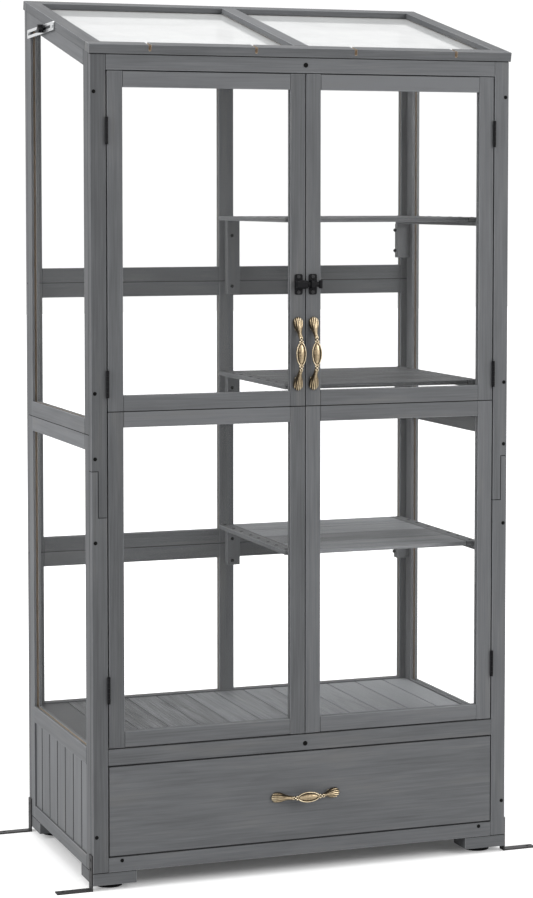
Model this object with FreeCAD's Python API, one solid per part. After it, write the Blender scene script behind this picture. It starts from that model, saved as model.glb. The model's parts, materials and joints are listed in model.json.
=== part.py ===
import FreeCAD, Part
import math
import os

from FreeCAD import Placement, Rotation, Vector

os.makedirs("parts", exist_ok=True)

# Wooden mini greenhouse: glazed cabinet with a sloping lid, two framed doors,
# three half-width shelves and a drawer in the base.
# Millimetres. +Z up, the doors face -Y, X = 0 is the middle, Z = 0 is the ground.
# Y = 0 is the front face of the front posts.

# Overall
body_w = 800.0              # across the front posts
body_d = 456.0              # front posts to back posts
front_h = 1475.0            # ground to the top of the header
roof_pitch = 13.2           # degrees, falls to the front

# Timber sections
timber_w = 28.0             # face width of a frame member
timber_t = 15.0             # thickness of a frame member
door_t = 14.0
mullion_w = 30.0
groove_w = 4.0              # glazing groove in the edge of a member
groove_d = 7.0
tongue_play = 0.15          # side and end play of a tongue in its groove
fit_gap = 0.3               # play between pieces that stand against each other

# Feet
pad_h = 10.0
pad_r = 24.0
block_t = 22.0
block_side = 80.0
block_chamfer = 28.0

# Heights of the front frame
bottom_rail_w = 27.0
drawer_opening_h = 164.0
base_rail_w = 30.0
header_w = 27.0
door_stop_t = 8.0           # lip behind the top of the doors
door_stop_reach = 6.0       # lip below the header
door_stop_up = 14.0         # lip on the back of the header

# Post splice, a half lap
splice_low_z = 665.0
splice_lap = 82.0
splice_outer_w = 12.0       # width of the half that belongs to the lower post

# Side walls
side_bottom_rail_w = 24.0
side_mid_rail_w = 31.0
side_mid_rail_top = 250.0
side_split_z = 810.0
side_top_rail_w = 27.0

# Back wall
back_split_low_z = 543.0
back_split_high_z = 1062.0
back_top_rail_w = 20.0

# Panes
pane_t = 2.6
pane_edge_play = 1.0        # from the edge of a pane to the floor of its groove

# Base boards, tongued and grooved
board_t = 8.0
board_pitch = 56.0
board_tongue = 3.0
board_tongue_t = 2.4
board_groove_play = 0.2
board_vee = 2.0

# Floor
floor_top = 247.0
floor_board_t = 10.0
floor_board_pitch = 60.0
floor_board_gap = 2.4
bearer_w = 20.0
bearer_h = 14.0

# Drawer
drawer_gap = 1.6            # around the drawer front
drawer_side_t = 12.0
drawer_side_h = 118.0
drawer_back_gap = 34.0      # box to the back wall
drawer_base_t = 4.0
drawer_base_up = 6.0        # from the lower edge of the sides
drawer_side_play = 2.0
runner_ledge_w = 26.0
runner_guide_w = 17.0
runner_ledge_h = 14.0
runner_guide_h = 32.0

# Doors
door_gap = 1.6              # above and below
door_hinge_gap = 2.6
door_meeting_gap = 2.0
door_split_z = 851.0
door_plate_w = 14.0
door_plate_h = 60.0
door_plate_t = 1.5

# Butt hinges
hinge_h = 48.0
hinge_leaf_t = 0.9
hinge_leaf_d = 11.0
hinge_barrel_r = 2.6
hinge_pin_r = 1.3
hinge_pin_play = 0.05
hinge_knuckles = 5
hinge_knuckle_gap = 0.3
hinge_face_gap = 0.3        # between a barrel and the wood
hinge_inset = 104.0         # hinge centre from the end of the door
roof_hinge_h = 60.0
roof_hinge_x = 250.0
roof_leaf_d = 13.0

# Slide bolt
latch_z = 1070.5
latch_plate_w = 15.0
latch_plate_h = 37.0
latch_plate_t = 1.5
latch_offset = 6.2          # plate edge from the middle of the cabinet
bolt_r = 4.8
bolt_play = 0.3
bolt_stand_off = 8.0        # bolt axis in front of the doors
bolt_travel = 7.0
guide_w = 8.0
guide_half = 7.4            # half the height of a housing
nose_half = 6.8
housing_round = 3.5
thumb_r = 3.7
thumb_h = 15.0
thumb_stand_off = 11.0

# Cast pulls
pull_len = 134.0
pull_fan_w = 20.0
pull_fan_len = 30.0
pull_neck_w = 6.5
pull_oval_w = 20.0
pull_oval_len = 44.0
pull_oval_t = 8.0
pull_rise = 14.0            # back of the oval bead in front of the wood
door_pull_x = 15.0
door_pull_z = 946.0

# Shelves
shelf_tops = (581.0, 885.0, 1189.0)
shelf_names = ("lower_shelf", "middle_shelf", "upper_shelf")
shelf_t = 8.0
shelf_left_x = -18.0
shelf_side_gap = 13.0       # from the right-hand wall
shelf_front_y = 58.0
shelf_back_gap = 8.0        # from the back wall
shelf_end_w = 26.0
shelf_slats = 4
shelf_slat_gap = 3.5
ledger_w = 25.0
ledger_front_gap = 4.0      # behind the front posts
ledger_h = 8.0
shelf_block_w = 26.0
shelf_block_t = 15.0
left_block_hs = (72.0, 72.0, 144.0)
right_block_h = 68.0
left_block_shift = 10.0     # block centre from the middle of the mullion

# Roof
roof_t = 17.0
roof_rail_w = 28.0
roof_bar_w = 28.0
roof_side_lap = 3.0
roof_front_lap = 2.0
roof_gap = 0.5
roof_groove_up = 2.4        # groove above the underside
roof_groove_stop = 10.0     # end of a cross rail to the start of its groove
drain_xs = (-292.0, -95.0, 95.0, 292.0)
drain_w = 5.0
drain_d = 11.5

# Roof stay
stay_w = 16.0
stay_corner = 3.0
stay_t = 2.0
stay_slot_w = 5.4
stay_end = 8.0              # pivot to the front end of the bar
stay_tail = 183.0           # pivot to the tail
stay_tail_wall = 6.0
stay_reach = 70.0           # pivot in front of the stud
stay_pivot_up = 8.0         # pivot above the underside of the roof
stay_stud_in = 156.0        # stud in front of the back face
stay_stud_down = 9.8        # stud below the top edge of the side wall
stay_stud_r = 2.4
stay_stud_play = 0.05
stay_stud_depth = 10.0
stay_wall_gap = 0.8
knob_r = 9.0
knob_h = 9.0
knob_lobes = 3
rivet_r = 3.6
rivet_h = 1.6

# Ground anchors
anchor_w = 18.0
anchor_t = 2.5
anchor_leg = 65.0
anchor_up = 64.0
anchor_in = 11.0            # anchor centre from the front or back face
anchor_hole_r = 3.0
anchor_hole_in = 12.0       # hole centre from the end of the leg

# Worked-out places
half_w = body_w / 2
pitch = math.radians(roof_pitch)
slope = math.tan(pitch)
base_z = pad_h + block_t
drawer_z0 = base_z + bottom_rail_w
drawer_z1 = drawer_z0 + drawer_opening_h
door_zone_z0 = drawer_z1 + base_rail_w
header_z0 = front_h - header_w
side_in = half_w - timber_t
back_in = body_d - timber_t
post_in = half_w - timber_w
shelf_right_x = side_in - shelf_side_gap
side_mid_rail_z0 = side_mid_rail_top - side_mid_rail_w
floor_under = floor_top - floor_board_t
bearer_z0 = floor_under - bearer_h


def wall_top(y):
    """Height of the sloping top edge of the walls at depth y."""
    return front_h + y * slope


def box(x0, x1, y0, y1, z0, z1):
    x0, x1 = min(x0, x1), max(x0, x1)
    return Part.makeBox(x1 - x0, y1 - y0, z1 - z0, Vector(x0, y0, z0))


def rod(radius, length, start, direction):
    return Part.makeCylinder(radius, length, Vector(*start), Vector(*direction))


def prism_x(profile, x0, x1):
    """Extrude a (y, z) outline along X."""
    x0, x1 = min(x0, x1), max(x0, x1)
    points = [Vector(x0, y, z) for y, z in profile]
    face = Part.Face(Part.makePolygon(points + points[:1]))
    return face.extrude(Vector(x1 - x0, 0, 0))


def prism_z(profile, z0, z1):
    """Extrude an (x, y) outline along Z."""
    points = [Vector(x, y, z0) for x, y in profile]
    face = Part.Face(Part.makePolygon(points + points[:1]))
    return face.extrude(Vector(0, 0, z1 - z0))


def prism_y(profile, y0, y1):
    """Extrude an (x, z) outline along Y."""
    points = [Vector(x, y0, z) for x, z in profile]
    face = Part.Face(Part.makePolygon(points + points[:1]))
    return face.extrude(Vector(0, y1 - y0, 0))


def write(node, solids):
    """Export one node; the shared origin is on the ground under the middle of the body."""
    shape = solids[0].copy() if len(solids) == 1 else Part.makeCompound(solids)
    shape.translate(Vector(0, -body_d / 2, 0))
    shape.exportStep("parts/" + node + ".step")


def to_roof(shape):
    """Lay a shape from the roof's own frame on the slope.

    The roof's own frame has X as here, Y up the slope from the lower front
    edge and Z square to the underside.
    """
    start_y = -roof_front_lap
    start_z = wall_top(start_y) + roof_gap / math.cos(pitch)
    placed = shape.copy()
    placed.Placement = Placement(Vector(0, start_y, start_z), Rotation(Vector(1, 0, 0), roof_pitch))
    return placed


stud_y = body_d - stay_stud_in
stud_z = wall_top(stud_y) - stay_stud_down


# Front frame: two posts, each spliced from two lengths, and three rails
def front_post(side, upper):
    outer_x = side * half_w
    lap_x = side * (half_w - splice_outer_w)
    inner_x = side * post_in
    lap_top = splice_low_z + splice_lap
    if upper:
        profile = [(timber_t, lap_top), (timber_t, wall_top(timber_t)), (0, wall_top(0)), (0, lap_top)]
        outer = prism_x(profile, outer_x, lap_x)
        profile = [(timber_t, splice_low_z), (timber_t, wall_top(timber_t)), (0, wall_top(0)), (0, splice_low_z)]
        return outer.fuse(prism_x(profile, lap_x, inner_x)).removeSplitter()
    outer = box(outer_x, lap_x, 0, timber_t, base_z, lap_top)
    return outer.fuse(box(lap_x, inner_x, 0, timber_t, base_z, splice_low_z)).removeSplitter()


def front_rail(z0, z1, sloped):
    x = post_in
    top_back = wall_top(timber_t) if sloped else z1
    return prism_x([(0, z0), (timber_t, z0), (timber_t, top_back), (0, z1)], -x, x)


# Side walls
def side_x():
    """Inner and outer X of the glazing groove in a side wall."""
    middle = half_w - timber_t / 2
    return middle - groove_w / 2, middle + groove_w / 2


front_stile_y = (timber_t, timber_t + timber_w)
back_stile_y = (back_in - timber_w, back_in)
side_open_y = (front_stile_y[1], back_stile_y[0])


def side_stile(side, y0, y1, z0, z1, groove_at_back):
    """A stile of a side wall with its groove; z1 of None follows the slope."""
    if z1 is None:
        profile = [(y0, z0), (y1, z0), (y1, wall_top(y1)), (y0, wall_top(y0))]
        stile = prism_x(profile, side * side_in, side * half_w)
    else:
        stile = box(side * side_in, side * half_w, y0, y1, z0, z1)
    gx0, gx1 = side_x()
    gy0, gy1 = (y1 - groove_d, y1) if groove_at_back else (y0, y0 + groove_d)
    return stile.cut(box(side * gx0, side * gx1, gy0, gy1, z0, wall_top(y1)))


def side_rail(side, z0, z1, groove_low, groove_high):
    """A level rail between two stiles: grooves for panes, tongues at the ends."""
    y0, y1 = side_open_y
    gx0, gx1 = side_x()
    rail = box(side * side_in, side * half_w, y0, y1, z0, z1)
    tz0 = z0 + (groove_d if groove_low else 0)
    tz1 = z1 - (groove_d if groove_high else 0)
    if groove_low:
        rail = rail.cut(box(side * gx0, side * gx1, y0, y1, z0, tz0))
    if groove_high:
        rail = rail.cut(box(side * gx0, side * gx1, y0, y1, tz1, z1))
    reach = groove_d - tongue_play
    tx0, tx1 = side * (gx0 + tongue_play), side * (gx1 - tongue_play)
    tongue = box(tx0, tx1, y0 - reach, y1 + reach, tz0, tz1)
    return rail.fuse(tongue).removeSplitter()


def side_top_rail(side):
    y0, y1 = side_open_y
    fall = side_top_rail_w / math.cos(pitch)
    gx0, gx1 = side_x()

    def strip(x0, x1, ya, yb, low, high):
        profile = [(ya, wall_top(ya) - low), (yb, wall_top(yb) - low)]
        profile += [(yb, wall_top(yb) - high), (ya, wall_top(ya) - high)]
        return prism_x(profile, side * x0, side * x1)

    groove_fall = groove_d / math.cos(pitch)
    rail = strip(side_in, half_w, y0, y1, fall, 0)
    rail = rail.cut(strip(gx0, gx1, y0, y1, fall, fall - groove_fall))
    reach = groove_d - tongue_play
    tongue = strip(gx0 + tongue_play, gx1 - tongue_play, y0 - reach, y1 + reach, fall - groove_fall, 0)
    return rail.fuse(tongue).removeSplitter()


def side_panes(side):
    x = half_w - timber_t / 2
    x0, x1 = side * (x - pane_t / 2), side * (x + pane_t / 2)
    reach = groove_d - pane_edge_play
    y0, y1 = side_open_y[0] - reach, side_open_y[1] + reach
    lift = groove_d - fit_gap
    lower = box(x0, x1, y0, y1, side_mid_rail_top - lift, side_split_z - timber_w + reach)
    fall = side_top_rail_w / math.cos(pitch) - reach
    bottom = side_split_z + timber_w - lift
    profile = [(y0, bottom), (y1, bottom), (y1, wall_top(y1) - fall), (y0, wall_top(y0) - fall)]
    return [lower, prism_x(profile, x0, x1)]


def board_outline(a, b, first, last):
    """Section of one board, from a to b along the wall, as (along, across) points."""
    half_tongue = board_tongue_t / 2
    middle = board_t / 2
    slot = half_tongue + board_groove_play
    points = [(a + board_vee, 0), (b - board_vee, 0), (b, board_vee)]
    if not last:
        tip = b + board_tongue
        points += [(b, middle - half_tongue), (tip, middle - half_tongue)]
        points += [(tip, middle + half_tongue), (b, middle + half_tongue)]
    points += [(b, board_t), (a, board_t)]
    if not first:
        floor = a + board_tongue + board_groove_play
        points += [(a, middle + slot), (floor, middle + slot)]
        points += [(floor, middle - slot), (a, middle - slot)]
    return points + [(a, board_vee)]


def board_joints(a, b):
    """Board edges between a and b: whole boards centred, cut boards at the ends."""
    middle = (a + b) / 2
    count = int((b - a) / board_pitch / 2)
    edges = [middle + (k + 0.5) * board_pitch for k in range(-count - 1, count + 1)]
    least = board_pitch / 3
    inner = [e for e in edges if a + least < e < b - least]
    return [a + fit_gap] + inner + [b - fit_gap]


def side_boards(side):
    edges = board_joints(*side_open_y)
    face = side * (half_w - (timber_t - board_t) / 2)
    boards = []
    for i in range(len(edges) - 1):
        a = edges[i] + (fit_gap / 2 if i else 0)
        b = edges[i + 1] - (fit_gap / 2 if i < len(edges) - 2 else 0)
        outline = board_outline(a, b, i == 0, i == len(edges) - 2)
        profile = [(face - side * across, along) for along, across in outline]
        z0, z1 = base_z + side_bottom_rail_w + fit_gap, side_mid_rail_z0 - fit_gap
        boards.append(prism_z(profile, z0, z1))
    return boards


for side, word in ((-1, "left"), (1, "right")):
    stiles = [
        side_stile(side, *front_stile_y, base_z, side_split_z, True),
        side_stile(side, *back_stile_y, base_z, side_split_z, False),
        side_stile(side, *front_stile_y, side_split_z, None, True),
        side_stile(side, *back_stile_y, side_split_z, None, False),
    ]
    top_rail = side_top_rail(side)
    if side < 0:
        hole = (-half_w, stud_y, stud_z)
        top_rail = top_rail.cut(rod(stay_stud_r + stay_stud_play, stay_stud_depth + fit_gap, hole, (1, 0, 0)))
    rails = [
        side_rail(side, base_z, base_z + side_bottom_rail_w, False, False),
        side_rail(side, side_mid_rail_z0, side_mid_rail_top, False, True),
        side_rail(side, side_split_z - timber_w, side_split_z, True, False),
        side_rail(side, side_split_z, side_split_z + timber_w, False, True),
        top_rail,
    ]
    write(word + "_side_stiles", stiles)
    write(word + "_side_rails", rails)
    write(word + "_side_panes", side_panes(side))
    write(word + "_base_boards", side_boards(side))

write("front_posts_upper", [front_post(-1, True), front_post(1, True)])
write("front_posts_lower", [front_post(-1, False), front_post(1, False)])
stop_x = side_in - fit_gap
stop_z0, stop_z1 = header_z0 - door_stop_reach, header_z0 + door_stop_up
door_stop = box(-stop_x, stop_x, timber_t, timber_t + door_stop_t, stop_z0, stop_z1)
header = front_rail(header_z0, front_h, True).fuse(door_stop)
write("header_rail", [header.removeSplitter()])
write("base_top_rail", [front_rail(drawer_z1, door_zone_z0, False)])
write("base_bottom_rail", [front_rail(base_z, drawer_z0, False)])

# Back wall: three stacked frames, each with a mullion in the middle
groove_y0 = body_d - timber_t / 2 - groove_w / 2
groove_y1 = groove_y0 + groove_w
bay_x = (mullion_w / 2, post_in)


def back_upright(x0, x1, z0, z1, grooves):
    """A stile or mullion of the back wall; grooves lists its grooved edges."""
    if z1 is None:
        y0, y1 = back_in, body_d
        piece = prism_x([(y0, z0), (y1, z0), (y1, wall_top(y1)), (y0, wall_top(y0))], x0, x1)
    else:
        piece = box(x0, x1, back_in, body_d, z0, z1)
    x0, x1 = min(x0, x1), max(x0, x1)
    high = wall_top(body_d)
    if "low" in grooves:
        piece = piece.cut(box(x0, x0 + groove_d, groove_y0, groove_y1, z0, high))
    if "high" in grooves:
        piece = piece.cut(box(x1 - groove_d, x1, groove_y0, groove_y1, z0, high))
    return piece


def back_rail(x0, x1, z0, z1, groove_low, groove_high, sloped=False):
    if sloped:
        profile = [(back_in, z0), (body_d, z0), (body_d, wall_top(body_d)), (back_in, wall_top(back_in))]
        rail = prism_x(profile, x0, x1)
    else:
        rail = box(x0, x1, back_in, body_d, z0, z1)
    tz0 = z0 + (groove_d if groove_low else 0)
    tz1 = z1 - (groove_d if groove_high else 0)
    if groove_low:
        rail = rail.cut(box(x0, x1, groove_y0, groove_y1, z0, tz0))
    if groove_high:
        rail = rail.cut(box(x0, x1, groove_y0, groove_y1, tz1, z1))
    reach = groove_d - tongue_play
    tongue = box(x0 - reach, x1 + reach, groove_y0 + tongue_play, groove_y1 - tongue_play, tz0, tz1)
    return rail.fuse(tongue).removeSplitter()


back_mid_z0 = side_mid_rail_z0
back_mid_z1 = side_mid_rail_top
back_top_z0 = wall_top(back_in) - back_top_rail_w
back_levels = ((base_z, back_split_low_z), (back_split_low_z, back_split_high_z), (back_split_high_z, None))

back_stiles = []
for z0, z1 in back_levels:
    back_stiles.append(back_upright(-half_w, -post_in, z0, z1, "high"))
    back_stiles.append(back_upright(post_in, half_w, z0, z1, "low"))
    mullion_z0 = back_mid_z1 if z0 == base_z else z0
    both = ("low", "high")
    back_stiles.append(back_upright(-mullion_w / 2, mullion_w / 2, mullion_z0, z1, both))
write("back_stiles", back_stiles)

back_rails = [
    back_rail(-post_in, post_in, base_z, base_z + timber_w, False, False),
    back_rail(-post_in, post_in, back_mid_z0, back_mid_z1, False, True),
]
bay_levels = (
    (back_split_low_z - timber_w, back_split_low_z, True, False, False),
    (back_split_low_z, back_split_low_z + timber_w, False, True, False),
    (back_split_high_z - timber_w, back_split_high_z, True, False, False),
    (back_split_high_z, back_split_high_z + timber_w, False, True, False),
    (back_top_z0, wall_top(back_in), True, False, True),
)
for z0, z1, low, high, sloped in bay_levels:
    for x0, x1 in ((-bay_x[1], -bay_x[0]), bay_x):
        back_rails.append(back_rail(x0, x1, z0, z1, low, high, sloped))
write("back_rails", back_rails)

back_panes = []
pane_y = (body_d - timber_t / 2 - pane_t / 2, body_d - timber_t / 2 + pane_t / 2)
pane_reach = groove_d - pane_edge_play
pane_levels = (
    (back_mid_z1, back_split_low_z - timber_w),
    (back_split_low_z + timber_w, back_split_high_z - timber_w),
    (back_split_high_z + timber_w, back_top_z0),
)
for z0, z1 in pane_levels:
    for x0, x1 in ((-bay_x[1], -bay_x[0]), bay_x):
        low = z0 - groove_d + fit_gap
        back_panes.append(box(x0 - pane_reach, x1 + pane_reach, *pane_y, low, z1 + pane_reach))
write("back_panes", back_panes)

back_boards = []
edges = board_joints(-post_in, post_in)
board_face = body_d - (timber_t - board_t) / 2
for i in range(len(edges) - 1):
    a = edges[i] + (fit_gap / 2 if i else 0)
    b = edges[i + 1] - (fit_gap / 2 if i < len(edges) - 2 else 0)
    outline = board_outline(a, b, i == 0, i == len(edges) - 2)
    profile = [(along, board_face - across) for along, across in outline]
    back_boards.append(prism_z(profile, base_z + timber_w + fit_gap, back_mid_z0 - fit_gap))
write("back_boards", back_boards)

# Floor: boards from front to back on three bearers
floor_y = (timber_t + fit_gap, back_in - fit_gap)
floor_boards = []
x = -side_in + fit_gap
while x < side_in - floor_board_gap:
    right = min(x + floor_board_pitch - floor_board_gap, side_in - fit_gap)
    if right - x > floor_board_gap:
        floor_boards.append(box(x, right, *floor_y, floor_under, floor_top))
    x += floor_board_pitch
write("floor_boards", floor_boards)

bearer_x = side_in - fit_gap
bearer_middle = (timber_t + back_in) / 2
bearer_ys = (timber_t, bearer_middle - bearer_w / 2, back_in - bearer_w)
bearers = [box(-bearer_x, bearer_x, y, y + bearer_w, bearer_z0, floor_under) for y in bearer_ys]
write("floor_bearers", bearers)

# Drawer and its runners
drawer_x = post_in - drawer_gap
guide_in = side_in - runner_guide_w
box_out = guide_in - drawer_side_play
runner_z0 = drawer_z0
runner_top = runner_z0 + runner_ledge_h
side_z0 = runner_top + fit_gap
side_z1 = side_z0 + drawer_side_h
box_y1 = back_in - drawer_back_gap


def drawer_runner(side):
    """L-shaped runner on the side wall: a ledge below and a guide beside the drawer."""
    outer = side_in
    ledge = guide_in - (runner_ledge_w - drawer_side_play)
    profile = [(outer, runner_z0), (ledge, runner_z0), (ledge, runner_top), (guide_in, runner_top)]
    profile += [(guide_in, runner_z0 + runner_guide_h), (outer, runner_z0 + runner_guide_h)]
    profile = [(side * px, pz) for px, pz in profile]
    return prism_y(profile, timber_t + fit_gap, back_in)


write("drawer_runners", [drawer_runner(-1), drawer_runner(1)])
write("drawer_front", [box(-drawer_x, drawer_x, 0, timber_t, drawer_z0 + drawer_gap, drawer_z1 - drawer_gap)])

base_z0 = side_z0 + drawer_base_up
slot_d = drawer_side_t / 2
walls = []
for side in (-1, 1):
    wall = box(side * box_out, side * (box_out - drawer_side_t), timber_t, box_y1, side_z0, side_z1)
    slot_x = side * (box_out - drawer_side_t)
    slot = box(slot_x, slot_x + side * slot_d, timber_t, box_y1, base_z0, base_z0 + drawer_base_t)
    walls.append(wall.cut(slot))
inner_x = box_out - drawer_side_t
walls.append(box(-inner_x, inner_x, box_y1 - drawer_side_t, box_y1, base_z0 + drawer_base_t, side_z1))
write("drawer_box_walls", walls)
base_x = inner_x + slot_d - fit_gap
write("drawer_base", [box(-base_x, base_x, timber_t, box_y1, base_z0, base_z0 + drawer_base_t)])


# Doors: each is two stacked frames joined by plates at the back
def door_bar(side, a, b, z0, z1, edge):
    """A member of a door: a stile grooved on one edge, or a rail with tongues."""
    gy0 = door_t / 2 - groove_w / 2
    gy1 = gy0 + groove_w
    piece = box(side * a, side * b, 0, door_t, z0, z1)
    if edge == "a":
        return piece.cut(box(side * a, side * (a + groove_d), gy0, gy1, z0, z1))
    if edge == "b":
        return piece.cut(box(side * (b - groove_d), side * b, gy0, gy1, z0, z1))
    reach = groove_d - tongue_play
    tz0, tz1 = (z0 + groove_d, z1) if edge == "low" else (z0, z1 - groove_d)
    gz0, gz1 = (z0, z0 + groove_d) if edge == "low" else (z1 - groove_d, z1)
    piece = piece.cut(box(side * a, side * b, gy0, gy1, gz0, gz1))
    tongue = box(side * (a - reach), side * (b + reach), gy0 + tongue_play, gy1 - tongue_play, tz0, tz1)
    return piece.fuse(tongue).removeSplitter()


door_a = door_meeting_gap / 2
door_b = post_in - door_hinge_gap
door_z0 = door_zone_z0 + door_gap
door_z1 = header_z0 - door_gap
halves = ((door_z0, door_split_z - fit_gap / 2), (door_split_z + fit_gap / 2, door_z1))

for side, word in ((-1, "left"), (1, "right")):
    stiles, rails, panes, plates = [], [], [], []
    for z0, z1 in halves:
        stiles.append(door_bar(side, door_a, door_a + timber_w, z0, z1, "b"))
        stiles.append(door_bar(side, door_b - timber_w, door_b, z0, z1, "a"))
        a, b = door_a + timber_w, door_b - timber_w
        rails.append(door_bar(side, a, b, z0, z0 + timber_w, "high"))
        rails.append(door_bar(side, a, b, z1 - timber_w, z1, "low"))
        reach = groove_d - pane_edge_play
        y0 = door_t / 2 - pane_t / 2
        low = z0 + timber_w - groove_d + fit_gap
        high = z1 - timber_w + reach
        panes.append(box(side * (a - reach), side * (b + reach), y0, y0 + pane_t, low, high))
    for x in (door_a + timber_w / 2, door_b - timber_w / 2):
        x0, x1 = x - door_plate_w / 2, x + door_plate_w / 2
        z0, z1 = door_split_z - door_plate_h / 2, door_split_z + door_plate_h / 2
        plates.append(box(side * x0, side * x1, door_t, door_t + door_plate_t, z0, z1))
    write(word + "_door_stiles", stiles)
    write(word + "_door_rails", rails)
    write(word + "_door_panes", panes)
    write(word + "_door_plates", plates)


# Butt hinges
def knuckle_spans(length, mine):
    """Spans along the barrel that belong to the fixed leaf (0) or the moving leaf (1)."""
    pitch_len = length / hinge_knuckles
    spans = []
    for k in range(hinge_knuckles):
        if k % 2 == mine:
            start = k * pitch_len + (hinge_knuckle_gap / 2 if k else 0)
            end = (k + 1) * pitch_len - (hinge_knuckle_gap / 2 if k < hinge_knuckles - 1 else 0)
            spans.append((start, end))
    return spans


def hinge_leaf(length, depth, mine, face):
    """A leaf in its own frame: barrel along Z at the origin, plate towards +Y.

    face is the X of the plate's outer side, which lies on the wood.
    """
    stand_off = hinge_barrel_r + hinge_face_gap
    x0, x1 = (face, face + hinge_leaf_t) if face < 0 else (face - hinge_leaf_t, face)
    leaf = box(x0, x1, stand_off, stand_off + depth, 0, length)
    bore_r = hinge_pin_r + hinge_pin_play
    for z0, z1 in knuckle_spans(length, mine):
        web = box(x0, x1, 0, stand_off, z0, z1)
        barrel = rod(hinge_barrel_r, z1 - z0, (0, 0, z0), (0, 0, 1))
        leaf = leaf.fuse(barrel.fuse(web))
        leaf = leaf.cut(rod(bore_r, z1 - z0, (0, 0, z0), (0, 0, 1)))
    return leaf.removeSplitter()


hinge_stand_off = hinge_barrel_r + hinge_face_gap
hinge_axis_x = post_in - door_hinge_gap / 2
hinge_axis_y = -hinge_stand_off
hinge_zs = (door_z0 + hinge_inset, door_split_z + hinge_h + 1.0, door_z1 - hinge_inset)


def placed_hinge(shape, side, z):
    spot = Vector(side * hinge_axis_x, hinge_axis_y, z - hinge_h / 2)
    moved = shape.copy()
    moved.translate(spot)
    return moved


fixed_leaves = []
pins = []
for side, word in ((-1, "left"), (1, "right")):
    moving = []
    for z in hinge_zs:
        face = side * door_hinge_gap / 2
        fixed_leaves.append(placed_hinge(hinge_leaf(hinge_h, hinge_leaf_d, 0, face), side, z))
        moving.append(placed_hinge(hinge_leaf(hinge_h, hinge_leaf_d, 1, -face), side, z))
        pin = rod(hinge_pin_r, hinge_h, (0, 0, 0), (0, 0, 1))
        pins.append(placed_hinge(pin, side, z))
    write(word + "_door_hinge_leaves", moving)

# Roof hinges, on the back face
roof_axis_y = body_d + hinge_stand_off
roof_back_run = (body_d + roof_front_lap) / math.cos(pitch)
roof_axis_z = wall_top(body_d) + roof_gap / math.cos(pitch)


def roof_hinge_leaf(mine):
    """A roof hinge leaf: barrel along X at the origin, plate down the wall or up the roof."""
    length = roof_hinge_h
    bore_r = hinge_pin_r + hinge_pin_play
    near = -hinge_stand_off * (math.cos(pitch) if mine else 1)
    if mine == 0:
        plate = box(0, length, near, near + hinge_leaf_t, -hinge_stand_off - roof_leaf_d, -hinge_stand_off)
    else:
        plate = box(0, length, near, near + hinge_leaf_t, hinge_stand_off, hinge_stand_off + roof_leaf_d)
    leaf = plate
    for x0, x1 in knuckle_spans(length, mine):
        z0, z1 = (-hinge_stand_off, 0) if mine == 0 else (0, hinge_stand_off)
        web = box(x0, x1, near, near + hinge_leaf_t, z0, z1)
        barrel = rod(hinge_barrel_r, x1 - x0, (x0, 0, 0), (1, 0, 0))
        arm_z = (-hinge_barrel_r, -hinge_barrel_r + hinge_leaf_t)
        if mine == 1:
            arm_z = (hinge_barrel_r - hinge_leaf_t, hinge_barrel_r)
        arm = box(x0, x1, near, 0, *arm_z)
        leaf = leaf.fuse(barrel.fuse([web, arm]))
        leaf = leaf.cut(rod(bore_r, x1 - x0, (x0, 0, 0), (1, 0, 0)))
    leaf = leaf.removeSplitter()
    if mine == 1:
        leaf.rotate(Vector(0, 0, 0), Vector(1, 0, 0), roof_pitch)
    return leaf


roof_leaves = []
for x in (-roof_hinge_x, roof_hinge_x):
    spot = Vector(x - roof_hinge_h / 2, roof_axis_y, roof_axis_z)
    for mine, group in ((0, fixed_leaves), (1, roof_leaves)):
        leaf = roof_hinge_leaf(mine)
        leaf.translate(spot)
        group.append(leaf)
    pins.append(rod(hinge_pin_r, roof_hinge_h, (spot.x, spot.y, spot.z), (1, 0, 0)))
write("hinge_fixed_leaves", fixed_leaves)
write("hinge_pins", pins)
write("roof_hinge_leaves", roof_leaves)

# Slide bolt: keeper on the left door, guide and bolt on the right door
latch_z0 = latch_z - latch_plate_h / 2
bolt_y = -bolt_stand_off
tunnel_half = bolt_r + bolt_play
edge_x = door_a - fit_gap


def latch_plate(x0, x1):
    plate = box(x0, x1, -latch_plate_t, 0, latch_z0, latch_z0 + latch_plate_h)
    corners = [e for e in plate.Edges if abs(e.tangentAt(e.FirstParameter).y) > 0.9]
    return plate.makeFillet(latch_plate_t * 2, corners)


def latch_housing(x0, x1, half, back_y):
    """A folded strap round the bolt, with rounded front corners."""
    front_y = bolt_y - half
    strap = box(x0, x1, front_y, back_y, latch_z - half, latch_z + half)
    corners = [e for e in strap.Edges if e.BoundBox.YMax < front_y + fit_gap and e.BoundBox.XLength > fit_gap]
    return strap.makeFillet(housing_round, corners)


def bolt_tunnel(x0, x1):
    y0, y1 = bolt_y - tunnel_half, bolt_y + tunnel_half
    return box(x0, x1, y0, y1, latch_z - tunnel_half, latch_z + tunnel_half)


plate_end = latch_offset + latch_plate_w
keeper = latch_plate(-plate_end, -latch_offset)
keeper = keeper.fuse(latch_housing(-plate_end, -latch_offset, guide_half, -latch_plate_t))
keeper = keeper.fuse(latch_housing(-latch_offset, -edge_x, nose_half, bolt_y + nose_half))
keeper = keeper.cut(bolt_tunnel(-edge_x - bolt_travel - guide_w, -edge_x))
write("latch_keeper", [keeper.removeSplitter()])

guide = latch_plate(latch_offset, plate_end)
guide = guide.fuse(latch_housing(latch_offset, latch_offset + guide_w, guide_half, -latch_plate_t))
guide = guide.cut(bolt_tunnel(latch_offset, latch_offset + guide_w))
write("latch_guide", [guide.removeSplitter()])

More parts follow.
